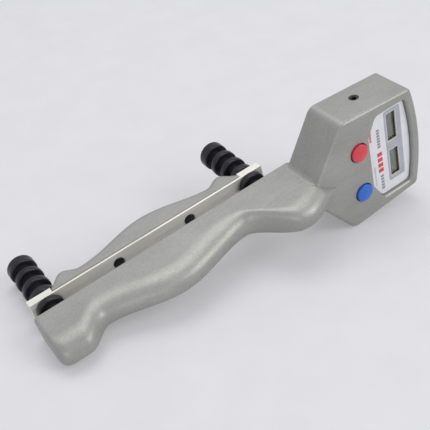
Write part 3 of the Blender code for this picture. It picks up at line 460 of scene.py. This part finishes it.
def shader_material(name, roughness, metallic, coat=0.0, coat_roughness=0.1, specular=0.5):
    """New material with its plain gloss set on the shader, and handles to its node tree."""
    mat = bpy.data.materials.new(name)
    mat.use_nodes = True
    shader = mat.node_tree.nodes["Principled BSDF"]
    shader.inputs["Roughness"].default_value = roughness
    shader.inputs["Metallic"].default_value = metallic
    shader.inputs["Coat Weight"].default_value = coat
    shader.inputs["Coat Roughness"].default_value = coat_roughness
    shader.inputs["Specular IOR Level"].default_value = specular
    return mat, mat.node_tree.nodes, mat.node_tree.links, shader


def grain(nodes, links, scale, stretch=(1.0, 1.0, 1.0), detail=4.0, roughness=0.55):
    """Noise in the object's own coordinates, lined up with the handle and stretched along its axes."""
    place = nodes.new("ShaderNodeTexCoord")
    align = nodes.new("ShaderNodeMapping")
    align.vector_type = "TEXTURE"
    align.inputs["Rotation"].default_value = (0.0, -LEAN, 0.0)
    align.inputs["Scale"].default_value = stretch
    noise = nodes.new("ShaderNodeTexNoise")
    noise.inputs["Scale"].default_value = scale
    noise.inputs["Detail"].default_value = detail
    noise.inputs["Roughness"].default_value = roughness
    links.new(place.outputs["Object"], align.inputs["Vector"])
    links.new(align.outputs["Vector"], noise.inputs["Vector"])
    return noise.outputs["Fac"]


def ramp(nodes, links, value, low, high, low_at=0.35, high_at=0.65):
    """Turn a grain into a range between two tones."""
    band = nodes.new("ShaderNodeValToRGB")
    band.color_ramp.elements[0].position = low_at
    band.color_ramp.elements[1].position = high_at
    band.color_ramp.elements[0].color = (*low, 1.0)
    band.color_ramp.elements[1].color = (*high, 1.0)
    links.new(value, band.inputs["Fac"])
    return band.outputs["Color"]


def spread(nodes, links, value, low, high):
    """Turn a grain into a range between two numbers."""
    fit = nodes.new("ShaderNodeMapRange")
    fit.inputs["From Min"].default_value = 0.3
    fit.inputs["From Max"].default_value = 0.7
    fit.inputs["To Min"].default_value = low
    fit.inputs["To Max"].default_value = high
    links.new(value, fit.inputs["Value"])
    return fit.outputs["Result"]


def blend_colour(nodes, links, first, second, amount):
    """Multiply one colour by another, to the given degree."""
    mix = nodes.new("ShaderNodeMix")
    mix.data_type = "RGBA"
    mix.blend_type = "MULTIPLY"
    mix.inputs["Factor"].default_value = amount
    links.new(first, mix.inputs["A"])
    links.new(second, mix.inputs["B"])
    return mix.outputs["Result"]


def bump(nodes, links, shader, height, strength, distance, below=None):
    """Raise the surface by a grain, on top of another bump if there is one."""
    relief = nodes.new("ShaderNodeBump")
    relief.inputs["Strength"].default_value = strength
    relief.inputs["Distance"].default_value = distance
    links.new(height, relief.inputs["Height"])
    if below is not None:
        links.new(below, relief.inputs["Normal"])
    links.new(relief.outputs["Normal"], shader.inputs["Normal"])
    return relief.outputs["Normal"]


def grained(name, low, high, roughness, metallic, scale, relief, **gloss):
    """Common finish: two close tones, uneven gloss and a fine surface grain."""
    mat, nodes, links, shader = shader_material(name, roughness, metallic, **gloss)
    fine = grain(nodes, links, scale)
    broad = grain(nodes, links, scale * 0.05)
    links.new(ramp(nodes, links, broad, low, high), shader.inputs["Base Color"])
    links.new(spread(nodes, links, fine, roughness * 0.85, roughness * 1.15), shader.inputs["Roughness"])
    bump(nodes, links, shader, fine, relief, 0.1 * MM)
    return mat


def blasted_alloy(name, low, high):
    """Bead-blasted cast aluminium: mottled grain with faint finishing lines that run along the handle."""
    mat, nodes, links, shader = shader_material(name, 0.4, 0.45)
    lines = grain(nodes, links, 2600.0, (24.0, 1.0, 1.0), 3.0)
    pits = grain(nodes, links, 1500.0, detail=5.0, roughness=0.7)
    clouds = grain(nodes, links, 55.0, (2.0, 1.0, 1.0), 5.0)
    tone = ramp(nodes, links, clouds, low, high, 0.3, 0.7)
    streak = ramp(nodes, links, lines, (0.86, 0.86, 0.85), (1.0, 1.0, 1.0), 0.3, 0.62)
    mottle = ramp(nodes, links, pits, (0.80, 0.80, 0.79), (1.0, 1.0, 1.0), 0.36, 0.62)
    lined = blend_colour(nodes, links, tone, streak, 0.8)
    links.new(blend_colour(nodes, links, lined, mottle, 0.9), shader.inputs["Base Color"])
    links.new(spread(nodes, links, pits, 0.5, 0.36), shader.inputs["Roughness"])
    first = bump(nodes, links, shader, pits, 0.35, 0.12 * MM)
    bump(nodes, links, shader, lines, 0.12, 0.05 * MM, first)
    return mat


def machined_alloy(name, low, high):
    """Bright drawn bar with tight tool lines along its length."""
    mat, nodes, links, shader = shader_material(name, 0.34, 0.35)
    lines = grain(nodes, links, 2200.0, (40.0, 1.0, 1.0), 3.0)
    clouds = grain(nodes, links, 120.0, (6.0, 1.0, 1.0), 4.0)
    tone = ramp(nodes, links, clouds, low, high)
    streak = ramp(nodes, links, lines, (0.8, 0.8, 0.78), (1.0, 1.0, 1.0), 0.3, 0.65)
    links.new(blend_colour(nodes, links, tone, streak, 0.8), shader.inputs["Base Color"])
    links.new(spread(nodes, links, lines, 0.28, 0.42), shader.inputs["Roughness"])
    bump(nodes, links, shader, lines, 0.15, 0.04 * MM)
    return mat


def make_materials():
    """Every finish, by the short name the pieces use: two tones, roughness, metallic, grain, relief."""
    return {
        "body": blasted_alloy("blasted_alloy_look", (0.335, 0.335, 0.315), (0.40, 0.40, 0.378)),
        "cover": blasted_alloy("cover_alloy_look", (0.31, 0.31, 0.30), (0.36, 0.36, 0.35)),
        "bright": machined_alloy("machined_alloy_look", (0.80, 0.79, 0.73), (0.90, 0.89, 0.83)),
        "cell_alloy": machined_alloy("load_cell_look", (0.52, 0.52, 0.52), (0.62, 0.62, 0.62)),
        "post": grained("black_post_look", (0.009, 0.009, 0.012), (0.017, 0.017, 0.021),
                        0.3, 0.0, 1500.0, 0.05, coat=0.08, coat_roughness=0.1, specular=0.3),
        "screw": grained("black_steel_look", (0.025, 0.025, 0.027), (0.045, 0.045, 0.048),
                         0.34, 0.7, 2400.0, 0.05),
        "label": grained("label_look", (0.66, 0.665, 0.69), (0.71, 0.715, 0.74), 0.42, 0.0, 3000.0, 0.03),
        "print": grained("frame_print_look", (0.35, 0.355, 0.40), (0.40, 0.405, 0.45),
                         0.4, 0.0, 3000.0, 0.02),
        "mark_dark": grained("dark_print_look", (0.22, 0.22, 0.23), (0.27, 0.27, 0.28),
                             0.45, 0.0, 3000.0, 0.02),
        "mark_pale": grained("pale_print_look", (0.42, 0.42, 0.44), (0.48, 0.48, 0.50),
                             0.45, 0.0, 3000.0, 0.02),
        "mark_red": grained("red_print_look", (0.55, 0.05, 0.06), (0.62, 0.07, 0.08),
                            0.45, 0.0, 3000.0, 0.02),
        "edge": grained("cut_edge_look", (0.66, 0.62, 0.50), (0.74, 0.70, 0.58), 0.5, 0.0, 2600.0, 0.02),
        "lcd": grained("display_cell_look", (0.135, 0.16, 0.142), (0.155, 0.18, 0.16),
                       0.22, 0.0, 2000.0, 0.02, coat=0.5, coat_roughness=0.06),
        "red": grained("red_button_look", (0.56, 0.03, 0.045), (0.63, 0.042, 0.056),
                       0.33, 0.0, 2200.0, 0.04, coat=0.2, coat_roughness=0.2),
        "blue": grained("blue_button_look", (0.006, 0.10, 0.48), (0.012, 0.125, 0.55),
                        0.33, 0.0, 2200.0, 0.04, coat=0.2, coat_roughness=0.2),
        "board": grained("board_look", (0.02, 0.12, 0.05), (0.035, 0.17, 0.07), 0.42, 0.0, 1200.0, 0.08),
        "plastic": grained("black_plastic_look", (0.016, 0.016, 0.018), (0.026, 0.026, 0.028),
                           0.45, 0.0, 2600.0, 0.08),
        "jacket": grained("cell_jacket_look", (0.04, 0.04, 0.05), (0.06, 0.06, 0.07),
                          0.3, 0.2, 800.0, 0.02),
        "film": grained("gauge_film_look", (0.5, 0.29, 0.08), (0.6, 0.36, 0.12), 0.35, 0.0, 2600.0, 0.03),
        "sheath": grained("cable_sheath_look", (0.035, 0.035, 0.04), (0.055, 0.055, 0.06),
                          0.5, 0.0, 2600.0, 0.05),
    }


def clear_lens():
    """Clear acrylic with a trace of haze."""
    mat, nodes, links, shader = shader_material("clear_lens_look", 0.05, 0.0)
    shader.inputs["Transmission Weight"].default_value = 1.0
    shader.inputs["IOR"].default_value = 1.49
    haze = grain(nodes, links, 300.0)
    links.new(ramp(nodes, links, haze, (0.93, 0.95, 0.94), (0.97, 0.98, 0.97)), shader.inputs["Base Color"])
    links.new(spread(nodes, links, haze, 0.03, 0.08), shader.inputs["Roughness"])
    return mat


# ---------------------------------------------------------------- handle and head

def palm_depth(x):
    """How far the palm side stands in front of the finger bar at station x."""
    heel = (HEEL_DEPTH - BASE_DEPTH) * (1.0 - smooth_step(x, HEEL_SHOULDER))
    horn = (HORN_DEPTH - BASE_DEPTH) * smooth_step(x, HORN_RISE)
    nose = (HORN_DEPTH - NOSE_DEPTH) * smooth_step(x, (NOSE_START, NOSE_END + NOSE_FADE))
    return BASE_DEPTH + heel + swell(x, *PALM_SWELL) + horn - nose - swell(x, *SCOOP, SCOOP_DEPTH)


def handle_slices():
    """Cross-sections from the rounded heel to the nose that fades into the display face."""
    slices = []
    corner_steps, nose_steps = 14, 26
    for a in quarter(corner_steps)[:-1]:
        x = HEEL_X + HEEL_CORNER * (1 - math.cos(a))
        depth = palm_depth(x) - HEEL_CORNER * (1 - math.sin(a))
        inside = min(x - HEEL_X, HEEL_EDGE)
        trim = HEEL_EDGE - math.sqrt(HEEL_EDGE ** 2 - (HEEL_EDGE - inside) ** 2)
        slices.append((x, palm_section(HANDLE_HALF - trim, HANDLE_BACK - trim * 0.6, -depth)))
    start = HEEL_X + HEEL_CORNER
    count = round((NOSE_NARROW - start) / FINE)
    for k in range(count + 1):
        x = start + (NOSE_NARROW - start) * k / count
        reach = PALM_REACH - swell(x, *SCOOP, SCOOP_REACH)
        slices.append((x, palm_section(HANDLE_HALF, HANDLE_BACK, -palm_depth(x), reach)))
    for k in range(1, nose_steps):
        t = k / nose_steps
        x = NOSE_NARROW + (NOSE_END - NOSE_NARROW) * t
        half = max(HANDLE_HALF * (1.0 - t ** NOSE_TAPER), NOSE_TIP_HALF)
        back = HANDLE_BACK - NOSE_BACK_DROP * smooth_step(x, NOSE_BACK_SPAN)
        slices.append((x, palm_section(half, back, -palm_depth(x))))
    return [[(x, y, z) for y, z in points] for x, points in slices]


def bowed_end(x, half, rise, steps):
    """Points across an end at x that bulges outwards by `rise` in the middle."""
    return [(x + rise * (1 - (1 - 2 * k / steps) ** 2), -half + 2 * half * k / steps)
            for k in range(steps + 1)]


def head_polygon():
    """Corners of the head's outline; the far end bulges outwards between its two crest corners."""
    x, z = HEAD_CREST
    bow = bowed_end(x, z, HEAD_BOW, 12)
    foot, shoulder = HEAD_FOOT, HEAD_SHOULDER
    return [(foot[0], -foot[1]), (shoulder[0], -shoulder[1])] + bow + [shoulder, foot]


def head_outline():
    """The head's outline with rounded shoulders and crests."""
    points = head_polygon()
    radii = [0.0] * len(points)
    radii[1] = radii[-2] = SHOULDER_RADIUS
    radii[2] = radii[-3] = CREST_RADIUS
    return rounded_outline(points, radii)


def head_inset(start, wall):
    """The head's outline moved inwards by `wall`, and by `start` at the neck."""
    points = head_polygon()
    distances = [wall] * len(points)
    distances[-1] = start
    return inset_outline(points, distances)


def panel_outline(grow=0.0):
    """Label plate: slanted corners at the button end and a bowed far end."""
    x0 = PANEL_CENTRE[0] - PANEL_LENGTH / 2 - grow
    x1 = PANEL_CENTRE[0] + PANEL_LENGTH / 2 - PANEL_BOW + grow
    half = PANEL_HALF + grow
    cut_x, cut_z = PANEL_CORNER
    steps = 16
    bow = bowed_end(x1, half, PANEL_BOW, steps)
    points = [(x0, -half + cut_z), (x0 + cut_x, -half)] + bow + [(x0 + cut_x, half), (x0, half - cut_z)]
    radii = [PANEL_ROUND] * 2 + [PANEL_CREST_ROUND] + [0.0] * (steps - 1) + [PANEL_CREST_ROUND]
    radii += [PANEL_ROUND] * 2
    return [(x, z + PANEL_CENTRE[1]) for x, z in rounded_outline(points, radii, 6)]


def neck_fillet(side):
    """Concave blend where the head's slanted flank meets one side of the neck."""
    foot, shoulder = Vector(HEAD_FOOT), Vector(HEAD_SHOULDER)
    slope = (shoulder - foot).normalized()
    corner = foot + slope * ((HANDLE_HALF - foot.y) / slope.y)
    inward = Vector((slope.y, -slope.x)) * FILLET_BITE
    front = HEAD_FRONT + HEAD_FRONT_EDGE
    rings = []
    for y, share in ((HEAD_BACK - HEAD_BACK_EDGE, 1.0), (front + 4.0 * MM, 1.0), (front + 2.5 * MM, 0.75),
                     (front + 1.0 * MM, 0.35), (front, 0.02)):
        arc = corner_arc(corner - Vector((1.0, 0.0)), corner, corner + slope, NECK_FILLET * share, 12)
        points = arc + [arc[-1] + inward, corner + inward * 2.0, arc[0] - Vector((0.0, FILLET_BITE))]
        rings.append([(p.x, y, side * p.y) for p in points])
    return skin(rings)


def body_shell(mats):
    """Handle, neck and head as one milled piece, with its recess, windows and covers' seats."""
    body = raw_object("body_shell", skin(handle_slices()), mats["body"])
    add(body, prism(head_outline(), HEAD_FRONT, HEAD_BACK, HEAD_FRONT_EDGE, HEAD_BACK_EDGE))
    for side in (1.0, -1.0):
        add(body, neck_fillet(side))
    floor = HEAD_FRONT + RECESS_DEPTH
    inner = floor + FRONT_WALL
    cover_seat = HEAD_BACK - COVER_PLATE - GAP
    cut(body, flared_prism(panel_outline(GAP), panel_outline(GAP + RECESS_LIP),
                           HEAD_FRONT, HEAD_FRONT + RECESS_LIP, floor))
    cut(body, prism(head_inset(COVER_START, RIM), cover_seat, HEAD_BACK + THROUGH))
    cut(body, prism(head_inset(POCKET_START, WALL), inner, cover_seat + 0.5 * MM))

    # openings in the front wall: the two displays and the two buttons
    wide, tall = LCD_SIZE[0] / 2 + GAP, LCD_SIZE[1] / 2 + GAP
    for z in WINDOW_Z:
        cut(body, block((WINDOW_X - wide, floor - THROUGH, z - tall),
                        (WINDOW_X + wide, inner + THROUGH, z + tall)))
    hole, flange, chamfer = BUTTON_RADIUS + GAP, FLANGE_RADIUS + GAP, BUTTON_CHAMFER
    seat = HEAD_FRONT + FLANGE_SEAT
    for z in BUTTON_Z:
        cut(body, stepped_hole(((HEAD_FRONT - chamfer, hole + 2 * chamfer), (HEAD_FRONT + chamfer, hole),
                                (seat, hole), (seat, flange), (inner + THROUGH, flange)), BUTTON_X, z))

    # the data socket's hole in the upper side
    sleeve = JACK_SLEEVE + GAP
    low, flare, high = JACK_HOLE
    cut(body, turned(((low, 0.0), (low, sleeve), (flare, sleeve), (high, sleeve + JACK_FLARE), (high, 0.0)),
                     (JACK_X, JACK_Y, 0.0), "Z"))

    # seat of the back strip, and the posts' bores under it
    strip_seat = HANDLE_BACK - COVER_THICK - GAP
    cut(body, block((COVER_X[0] - GAP, strip_seat, -COVER_HALF - GAP),
                    (COVER_X[1] + GAP, HANDLE_BACK + THROUGH, COVER_HALF + GAP)))
    for x in POST_X:
        cut(body, rod(POST_CORE + 2 * GAP, strip_seat - 10.0 * MM, strip_seat + 0.5 * MM, x, 0.0))
    settle(body, "housing", ("main_body",))


def back_covers(mats):
    """The head's back plate and the strip along the handle, with their flush socket screws."""
    plate = raw_object("head_cover_plate", prism(head_inset(COVER_START + GAP, RIM + GAP),
                                                 HEAD_BACK - COVER_PLATE, HEAD_BACK, 0.0, 0.3 * MM),
                       mats["cover"])
    for x, z in spots(COVER_SCREWS):
        screw_hole(plate, x, z, HEAD_BACK, COVER_SCREW)
    settle(plate, "housing", ("head_back_cover",))
    strip = raw_object("handle_strip", block((COVER_X[0], HANDLE_BACK - COVER_THICK, -COVER_HALF),
                                             (COVER_X[1], HANDLE_BACK, COVER_HALF), 0.25 * MM), mats["cover"])
    for x in POST_X:
        cut(strip, rod(POST_CORE + GAP, HANDLE_BACK - 5.0 * MM, HANDLE_BACK + THROUGH, x, 0.0))
    for x, z in spots(STRIP_SCREWS):
        screw_hole(strip, x, z, HANDLE_BACK, STRIP_SCREW)
    settle(strip, "housing", ("handle_back_strip",))
    for name, cad_name, places, size, face in (
            ("cover_bolt", "head_cover_screw", COVER_SCREWS, COVER_SCREW, HEAD_BACK),
            ("strip_bolt", "strip_screw", STRIP_SCREWS, STRIP_SCREW, HANDLE_BACK)):
        for n, (x, z) in enumerate(spots(places)):
            socket_screw(f"{name}_{n + 1}", mats["screw"], (x, face - size[1], z), size,
                         "housing", f"{cad_name}_{n + 1}")


def screw_hole(plate, x, z, face, size):
    """Bore and counterbore in a plate lying at `face`, with a softened mouth."""
    head, height, shank, _length = size
    bore, sink = shank + GAP, head + GAP
    seat = face - height - GAP
    cut(plate, stepped_hole(((seat - 6.0 * MM, bore), (seat, bore), (seat, sink), (face - 0.2 * MM, sink),
                             (face + 0.3 * MM, sink + 0.5 * MM)), x, z))


def socket_screw(name, mat, seat, size, body, stands_for, facing=1.0):
    """Socket screw with a rounded head edge and a hexagonal drive; it points along Y * facing."""
    head, height, shank, length = size
    edge = head * 0.16
    profile = [(-length, 0.0), (-length, shank * 0.7), (-length + shank * 0.5, shank), (0.0, shank),
               (0.0, head)]
    profile += [(height - edge * (1 - math.sin(a)), head - edge * (1 - math.cos(a))) for a in quarter(4)]
    profile.append((height, 0.0))
    screw = raw_object(name, turned([(facing * y, r) for y, r in profile], seat, steps=ROUND // 2), mat)
    drive = ((height * 0.4, 0.0), (height * 0.4, head * 0.5), (height * 1.4, head * 0.5), (height * 1.4, 0.0))
    cut(screw, turned([(facing * y, r) for y, r in drive], seat, steps=6))
    settle(screw, body, (stands_for,))


# ---------------------------------------------------------------- display and buttons

def rectangle(x_low, x_high, z_low, z_high):
    """Corners of an (x, z) rectangle in order round it."""
    return [(x_low, z_low), (x_high, z_low), (x_high, z_high), (x_low, z_high)]


def window_outline(z, grow):
    """One window in the label plate, made larger all round by `grow`."""
    wide, tall = WINDOW_SIZE[0] / 2 + grow, WINDOW_SIZE[1] / 2 + grow
    return rounded_outline(rectangle(WINDOW_X - wide, WINDOW_X + wide, z - tall, z + tall),
                           0.4 * MM + grow * 0.5, 4)


def display(mats):
    """Label plate with its two windows, their cut edges, the printed frame and a black sheet behind each lens
    that paints shade into the window.
    """
    floor = HEAD_FRONT + RECESS_DEPTH
    back = floor - GAP
    face = back - PANEL_THICK
    panel = raw_object("label_plate", prism(panel_outline(), face, back, 0.12 * MM, 0.0, 2), mats["label"])
    for z in WINDOW_Z:
        cut(panel, prism(window_outline(z, 0.0), face - THROUGH, back + THROUGH))
    settle(panel, "housing", ("display_panel",))

    border = rounded_outline(rectangle(*FRAME_X, *FRAME_Z), 1.4 * MM)
    frame_print = raw_object("window_frame_print", prism(border, face - PRINT_THICK, face), mats["print"])
    for z in WINDOW_Z:
        cut(frame_print, prism(window_outline(z, 0.25 * MM), face - THROUGH, face + THROUGH))
    settle(frame_print, "housing")

    lens_back = floor + LENS_SETBACK + LENS_THICK
    wide, tall = LCD_SIZE[0] / 2 - 0.1 * MM, LCD_SIZE[1] / 2 - 0.1 * MM
    for n, z in enumerate(WINDOW_Z):
        ring = raw_object(f"window_edge_{n + 1}", prism(window_outline(z, -0.02 * MM), face + 0.02 * MM,
                                                        back - 0.02 * MM), mats["edge"])
        cut(ring, prism(window_outline(z, -0.08 * MM), face - THROUGH, back + THROUGH))
        settle(ring, "housing")
        # A black sheet just in front of each display: painted shade for the dark walls of the deep window.
        shade_sheet = raw_object(f"window_shade_sheet_{n + 1}",
                          block((WINDOW_X - wide, lens_back + SHADE_SHEET_LAYER[0], z - tall),
                                (WINDOW_X + wide, lens_back + SHADE_SHEET_LAYER[1], z + tall)), mats["plastic"])
        cut(shade_sheet, block((WINDOW_X + SHADE_SHEET_X[0], lens_back, z + SHADE_SHEET_Z[0]),
                        (WINDOW_X + SHADE_SHEET_X[1], lens_back + 0.3 * MM, z + SHADE_SHEET_Z[1])))
        settle(shade_sheet, "housing")
    printed_marks(mats, face)


def printed_marks(mats, face):
    """Plain bars beside the windows: each row is (look, x, top z, bar width, bar height, count) in mm."""
    rows = (("mark_dark", 189.3, 17.6, 2.0, 1.3, 7), ("mark_red", 189.1, 2.2, 3.4, 2.6, 4),
            ("mark_dark", 189.3, -13.6, 2.2, 1.5, 5), ("mark_red", 184.0, 18.6, 1.4, 1.0, 5),
            ("mark_pale", 184.8, -5.6, 0.9, 0.8, 12))
    for n, (look, x, z, wide, tall, count) in enumerate(rows):
        bars = bmesh.new()
        for k in range(count):
            top = z - k * tall * 1.4
            bar = rectangle(x - wide / 2, x + wide / 2, top - tall, top)
            extrude(bars, spots(bar), face - PRINT_THICK, face)
        piece(f"printed_bars_{n + 1}", bars, mats[look], "housing")


def push_button(name, mat, z, body, stands_for):
    """Flat-domed cap with a soft edge, a retaining flange and a stem."""
    flange = FLANGE_SEAT + GAP + BUTTON_PROUD
    end = flange + FLANGE_THICK
    edge = BUTTON_EDGE
    profile = [(BUTTON_DOME * t * t, (BUTTON_RADIUS - edge) * t) for t in (k / 8 for k in range(9))]
    profile += [(BUTTON_DOME + edge * (1 - math.cos(a)), BUTTON_RADIUS - edge * (1 - math.sin(a)))
                for a in quarter(6)[1:]]
    profile += [(flange, BUTTON_RADIUS), (flange, FLANGE_RADIUS), (end, FLANGE_RADIUS), (end, STEM_RADIUS),
                (end + STEM_LENGTH, STEM_RADIUS), (end + STEM_LENGTH, 0.0)]
    piece(name, turned(profile, (BUTTON_X, HEAD_FRONT - BUTTON_PROUD, z)), mat, body, (stands_for,))


# ---------------------------------------------------------------- posts and finger bar

def post(name, x, mats, stands_for):
    """Black post: a shank, four rings parted by grooves, and an end cap."""
    profile = [(SHANK_END, 0.0), (SHANK_END, POST_SHANK - POST_TIP), (SHANK_END + POST_TIP, POST_SHANK),
               (SHANK_SHOULDER, POST_SHANK), (SHANK_SHOULDER, POST_CORE)]
    starts = [FIRST_RING + GROOVE_PITCH * k for k in range(RING_COUNT + 1)]
    ends = [start + RING_THICK for start in starts[:-1]] + [POST_END]
    root = RING_ROOT
    for low, high in zip(starts, ends):
        profile += [(low - root, POST_CORE), (low - root * 0.3, POST_CORE + root * 0.3),
                    (low, POST_CORE + root)]
        profile += [(low + RING_HEEL * (1 - math.cos(a)), POST_RING - RING_HEEL * (1 - math.sin(a)))
                    for a in quarter(3)]
        profile += [(high - RING_LIP * (1 - math.sin(a)), POST_RING - RING_LIP * (1 - math.cos(a)))
                    for a in quarter(5)]
        if high < POST_END:
            profile += [(high, POST_CORE + root), (high + root * 0.3, POST_CORE + root * 0.3),
                        (high + root, POST_CORE)]
    profile.append((POST_END, 0.0))
    piece(name, turned(profile, (x, 0.0, 0.0)), mats["post"], "housing", (stands_for,))


def hook_opening(x, radius):
    """Arch round a post, open downwards so that the bar can be lifted off."""
    arch = [(x + radius * math.cos(2 * a), radius * math.sin(2 * a)) for a in quarter(40)]
    foot = -GRIP_HALF - THROUGH
    return arch + [(x - radius, foot), (x + radius, foot)]


def hook_bar(mats):
    """Flat bar with thick tabs; a downward-open hook in each tab drops over a post's groove."""
    blank = block((BAR_X[0], 0.0, -BAR_HALF), (BAR_X[1], BAR_THICK, BAR_HALF), BAR_EDGE, 3)
    bar = raw_object("hook_bar", blank, mats["bright"])
    side = BAR_HALF + THROUGH
    cut(bar, block((TAB_INNER, BAR_WEB, -side), (POST_SPACING - TAB_INNER, BAR_THICK + THROUGH, side)))
    for x in POST_X:
        cut(bar, prism(hook_opening(x, POST_CORE + GAP), -THROUGH, BAR_THICK + THROUGH))
    sink, depth = GRIP_SINK
    bore = GRIP_SCREW[2] + GAP
    for x in GRIP_SCREW_X:
        cut(bar, stepped_hole(((-0.3 * MM, sink + 0.5 * MM), (0.2 * MM, sink), (depth, sink), (depth, bore),
                               (BAR_WEB + THROUGH, bore)), x, 0.0))
    settle(bar, "finger_bar", ("grip_bar",))
    for n, x in enumerate(GRIP_SCREW_X):
        socket_screw(f"grip_bolt_{n + 1}", mats["screw"], (x, depth - GAP * 0.5, 0.0), GRIP_SCREW,
                     "finger_bar", f"grip_screw_{n + 1}", -1.0)


def grip_depth(x):
    """Height of the grip over the bar's front: a long swell and a lobe near each rounded end."""
    middle = POST_SPACING / 2
    offset, half, rise = GRIP_LOBE
    depth = GRIP_BASE + swell(x, *GRIP_SWELL)
    depth += sum(swell(x, middle + side * offset, half, rise) for side in (-1.0, 1.0))
    near = middle - TAB_INNER + GRIP_TOE - abs(x - middle)
    short = 1.0 - min(near / GRIP_END_ROUND, 1.0)
    return depth * math.sqrt(max(1.0 - short * short, 0.0))


def contoured_grip(mats):
    """Grey finger grip: a long swell between two end lobes, rounded on the finger side."""
    start = TAB_INNER + GAP
    span = POST_SPACING - 2 * start
    near_face = BAR_WEB + GAP / 2
    count = round(span / FINE)
    rings = []
    for k in range(count + 1):
        x = start + span * 0.5 * (1.0 - math.cos(math.pi * k / count))
        depth = grip_depth(x)
        radius = min(GRIP_RADIUS, (depth - near_face) * 0.6)
        half = GRIP_HALF - (GRIP_TIP if k in (0, count) else 0.0)
        rings.append([(x, y, z) for y, z in grip_section(half, near_face, depth, radius)])
    grip = raw_object("contoured_grip", skin(rings), mats["body"])
    for x in POST_X:
        cut(grip, prism(hook_opening(x, POST_RING + GAP), near_face - THROUGH, POST_END))
    for x in GRIP_SCREW_X:
        cut(grip, rod(GRIP_SCREW[2] + GAP, near_face - THROUGH, near_face + GRIP_HOLE, x, 0.0))
    settle(grip, "finger_bar", ("finger_grip",))


def dress_inner_parts(mats):
    """Finish the CAD pieces that stay: electronics, load cells and the clear windows."""
    looks = {"circuit_board": "board", "reset_switch": "plastic", "mode_switch": "plastic",
             "controller_chip": "plastic", "sounder": "plastic", "battery_holder": "plastic",
             "data_socket": "plastic", "battery_cell_1": "jacket", "battery_cell_2": "jacket",
             "load_cell_lower": "cell_alloy", "load_cell_upper": "cell_alloy", "signal_cable": "sheath",
             "anchor_screw_lower": "screw", "anchor_screw_upper": "screw",
             "lcd_force": "lcd", "lcd_time": "lcd"}
    lens = clear_lens()
    for name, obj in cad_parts.items():
        if name.startswith("board_screw"):
            look = mats["screw"]
        elif name.startswith("strain_gauge"):
            look = mats["film"]
        elif name.startswith("lens_"):
            look = lens
        elif name in looks:
            look = mats[looks[name]]
        else:
            continue
        obj.data.materials.clear()
        obj.data.materials.append(look)


# ---------------------------------------------------------------- stage, light and camera

# The camera's place and its right and up directions, in the instrument's frame
CAMERA_AT = (-32.9 * MM, -317.7 * MM, 285.4 * MM)
CAMERA_RIGHT = (0.8109, -0.5431, -0.2180)
CAMERA_UP = (0.5041, 0.4591, 0.7315)
CAMERA_LENS = 68.94


def stage():
    """Plain pale paper under the instrument, wide enough to fill every view; it glows faintly, painted light
    that lifts the shadows on it.
    """
    bm = bmesh.new()
    bmesh.ops.create_grid(bm, x_segments=1, y_segments=1, size=4.0)
    mesh = bpy.data.meshes.new("floor")
    bm.to_mesh(mesh)
    bm.free()
    mat, nodes, links, shader = shader_material("glowing_paper_sweep", 0.6, 0.0, specular=0.1)
    weave = grain(nodes, links, 40.0)
    tone = ramp(nodes, links, weave, (0.46, 0.46, 0.474), (0.48, 0.48, 0.494))
    links.new(tone, shader.inputs["Base Color"])
    # Painted light: the paper glows faintly, lifting the shadows on it and lighting the instrument from
    # below.
    shader.inputs["Emission Color"].default_value = (0.98, 0.975, 1.0, 1.0)
    shader.inputs["Emission Strength"].default_value = 0.22
    mesh.materials.append(mat)
    floor = bpy.data.objects.new("floor", mesh)
    bpy.context.scene.collection.objects.link(floor)


def area_light(name, at, target, size, power, colour=(1.0, 1.0, 1.0)):
    """Round soft light aimed at a point."""
    lamp = bpy.data.lights.new(name, "AREA")
    lamp.shape = "DISK"
    lamp.size = size
    lamp.energy = power
    lamp.color = colour
    obj = bpy.data.objects.new(name, lamp)
    obj.location = at
    obj.rotation_euler = (Vector(target) - Vector(at)).to_track_quat("-Z", "Y").to_euler()
    bpy.context.scene.collection.objects.link(obj)


def light():
    """Soft studio light: a pale surround, one lamp overhead and one from each front side."""
    world = bpy.data.worlds.new("studio")
    world.use_nodes = True
    backdrop = world.node_tree.nodes["Background"]
    backdrop.inputs["Color"].default_value = (0.93, 0.94, 1.0, 1.0)
    backdrop.inputs["Strength"].default_value = 0.68
    bpy.context.scene.world = world
    bpy.context.scene.view_settings.view_transform = "Standard"
    middle = (0.0, 0.0, 0.02)
    area_light("overhead", (0.1, 0.35, 1.2), middle, 0.9, 5.4, (1.0, 0.99, 0.97))
    area_light("front_right", (0.67, -0.85, 0.85), middle, 0.8, 6.0, (1.0, 0.99, 0.96))
    area_light("front_left", (-0.85, -1.0, 0.35), middle, 0.8, 2.0)


def place_camera():
    """Camera at the photograph's angle."""
    right, up = Vector(CAMERA_RIGHT).normalized(), Vector(CAMERA_UP).normalized()
    back = right.cross(up).normalized()
    pose = Matrix((right, up, back)).transposed().to_4x4()
    pose.translation = Vector(CAMERA_AT)
    data = bpy.data.cameras.new("camera")
    data.sensor_width = 36.0
    data.lens = CAMERA_LENS
    data.clip_start = 0.01
    camera = bpy.data.objects.new("camera", data)
    camera.matrix_world = TO_ROW @ pose
    bpy.context.scene.collection.objects.link(camera)
    bpy.context.scene.camera = camera


def main():
    """Build every visible piece on its body, finish the inner ones, then set the stage."""
    mats = make_materials()
    body_shell(mats)
    back_covers(mats)
    display(mats)
    push_button("red_push_button", mats["red"], BUTTON_Z[0], "reset_button", "reset_button")
    push_button("blue_push_button", mats["blue"], BUTTON_Z[1], "mode_button", "mode_button")
    post("grooved_post_lower", 0.0, mats, "post_lower")
    post("grooved_post_upper", POST_SPACING, mats, "post_upper")
    hook_bar(mats)
    contoured_grip(mats)
    dress_inner_parts(mats)
    stage()
    light()
    place_camera()


main()
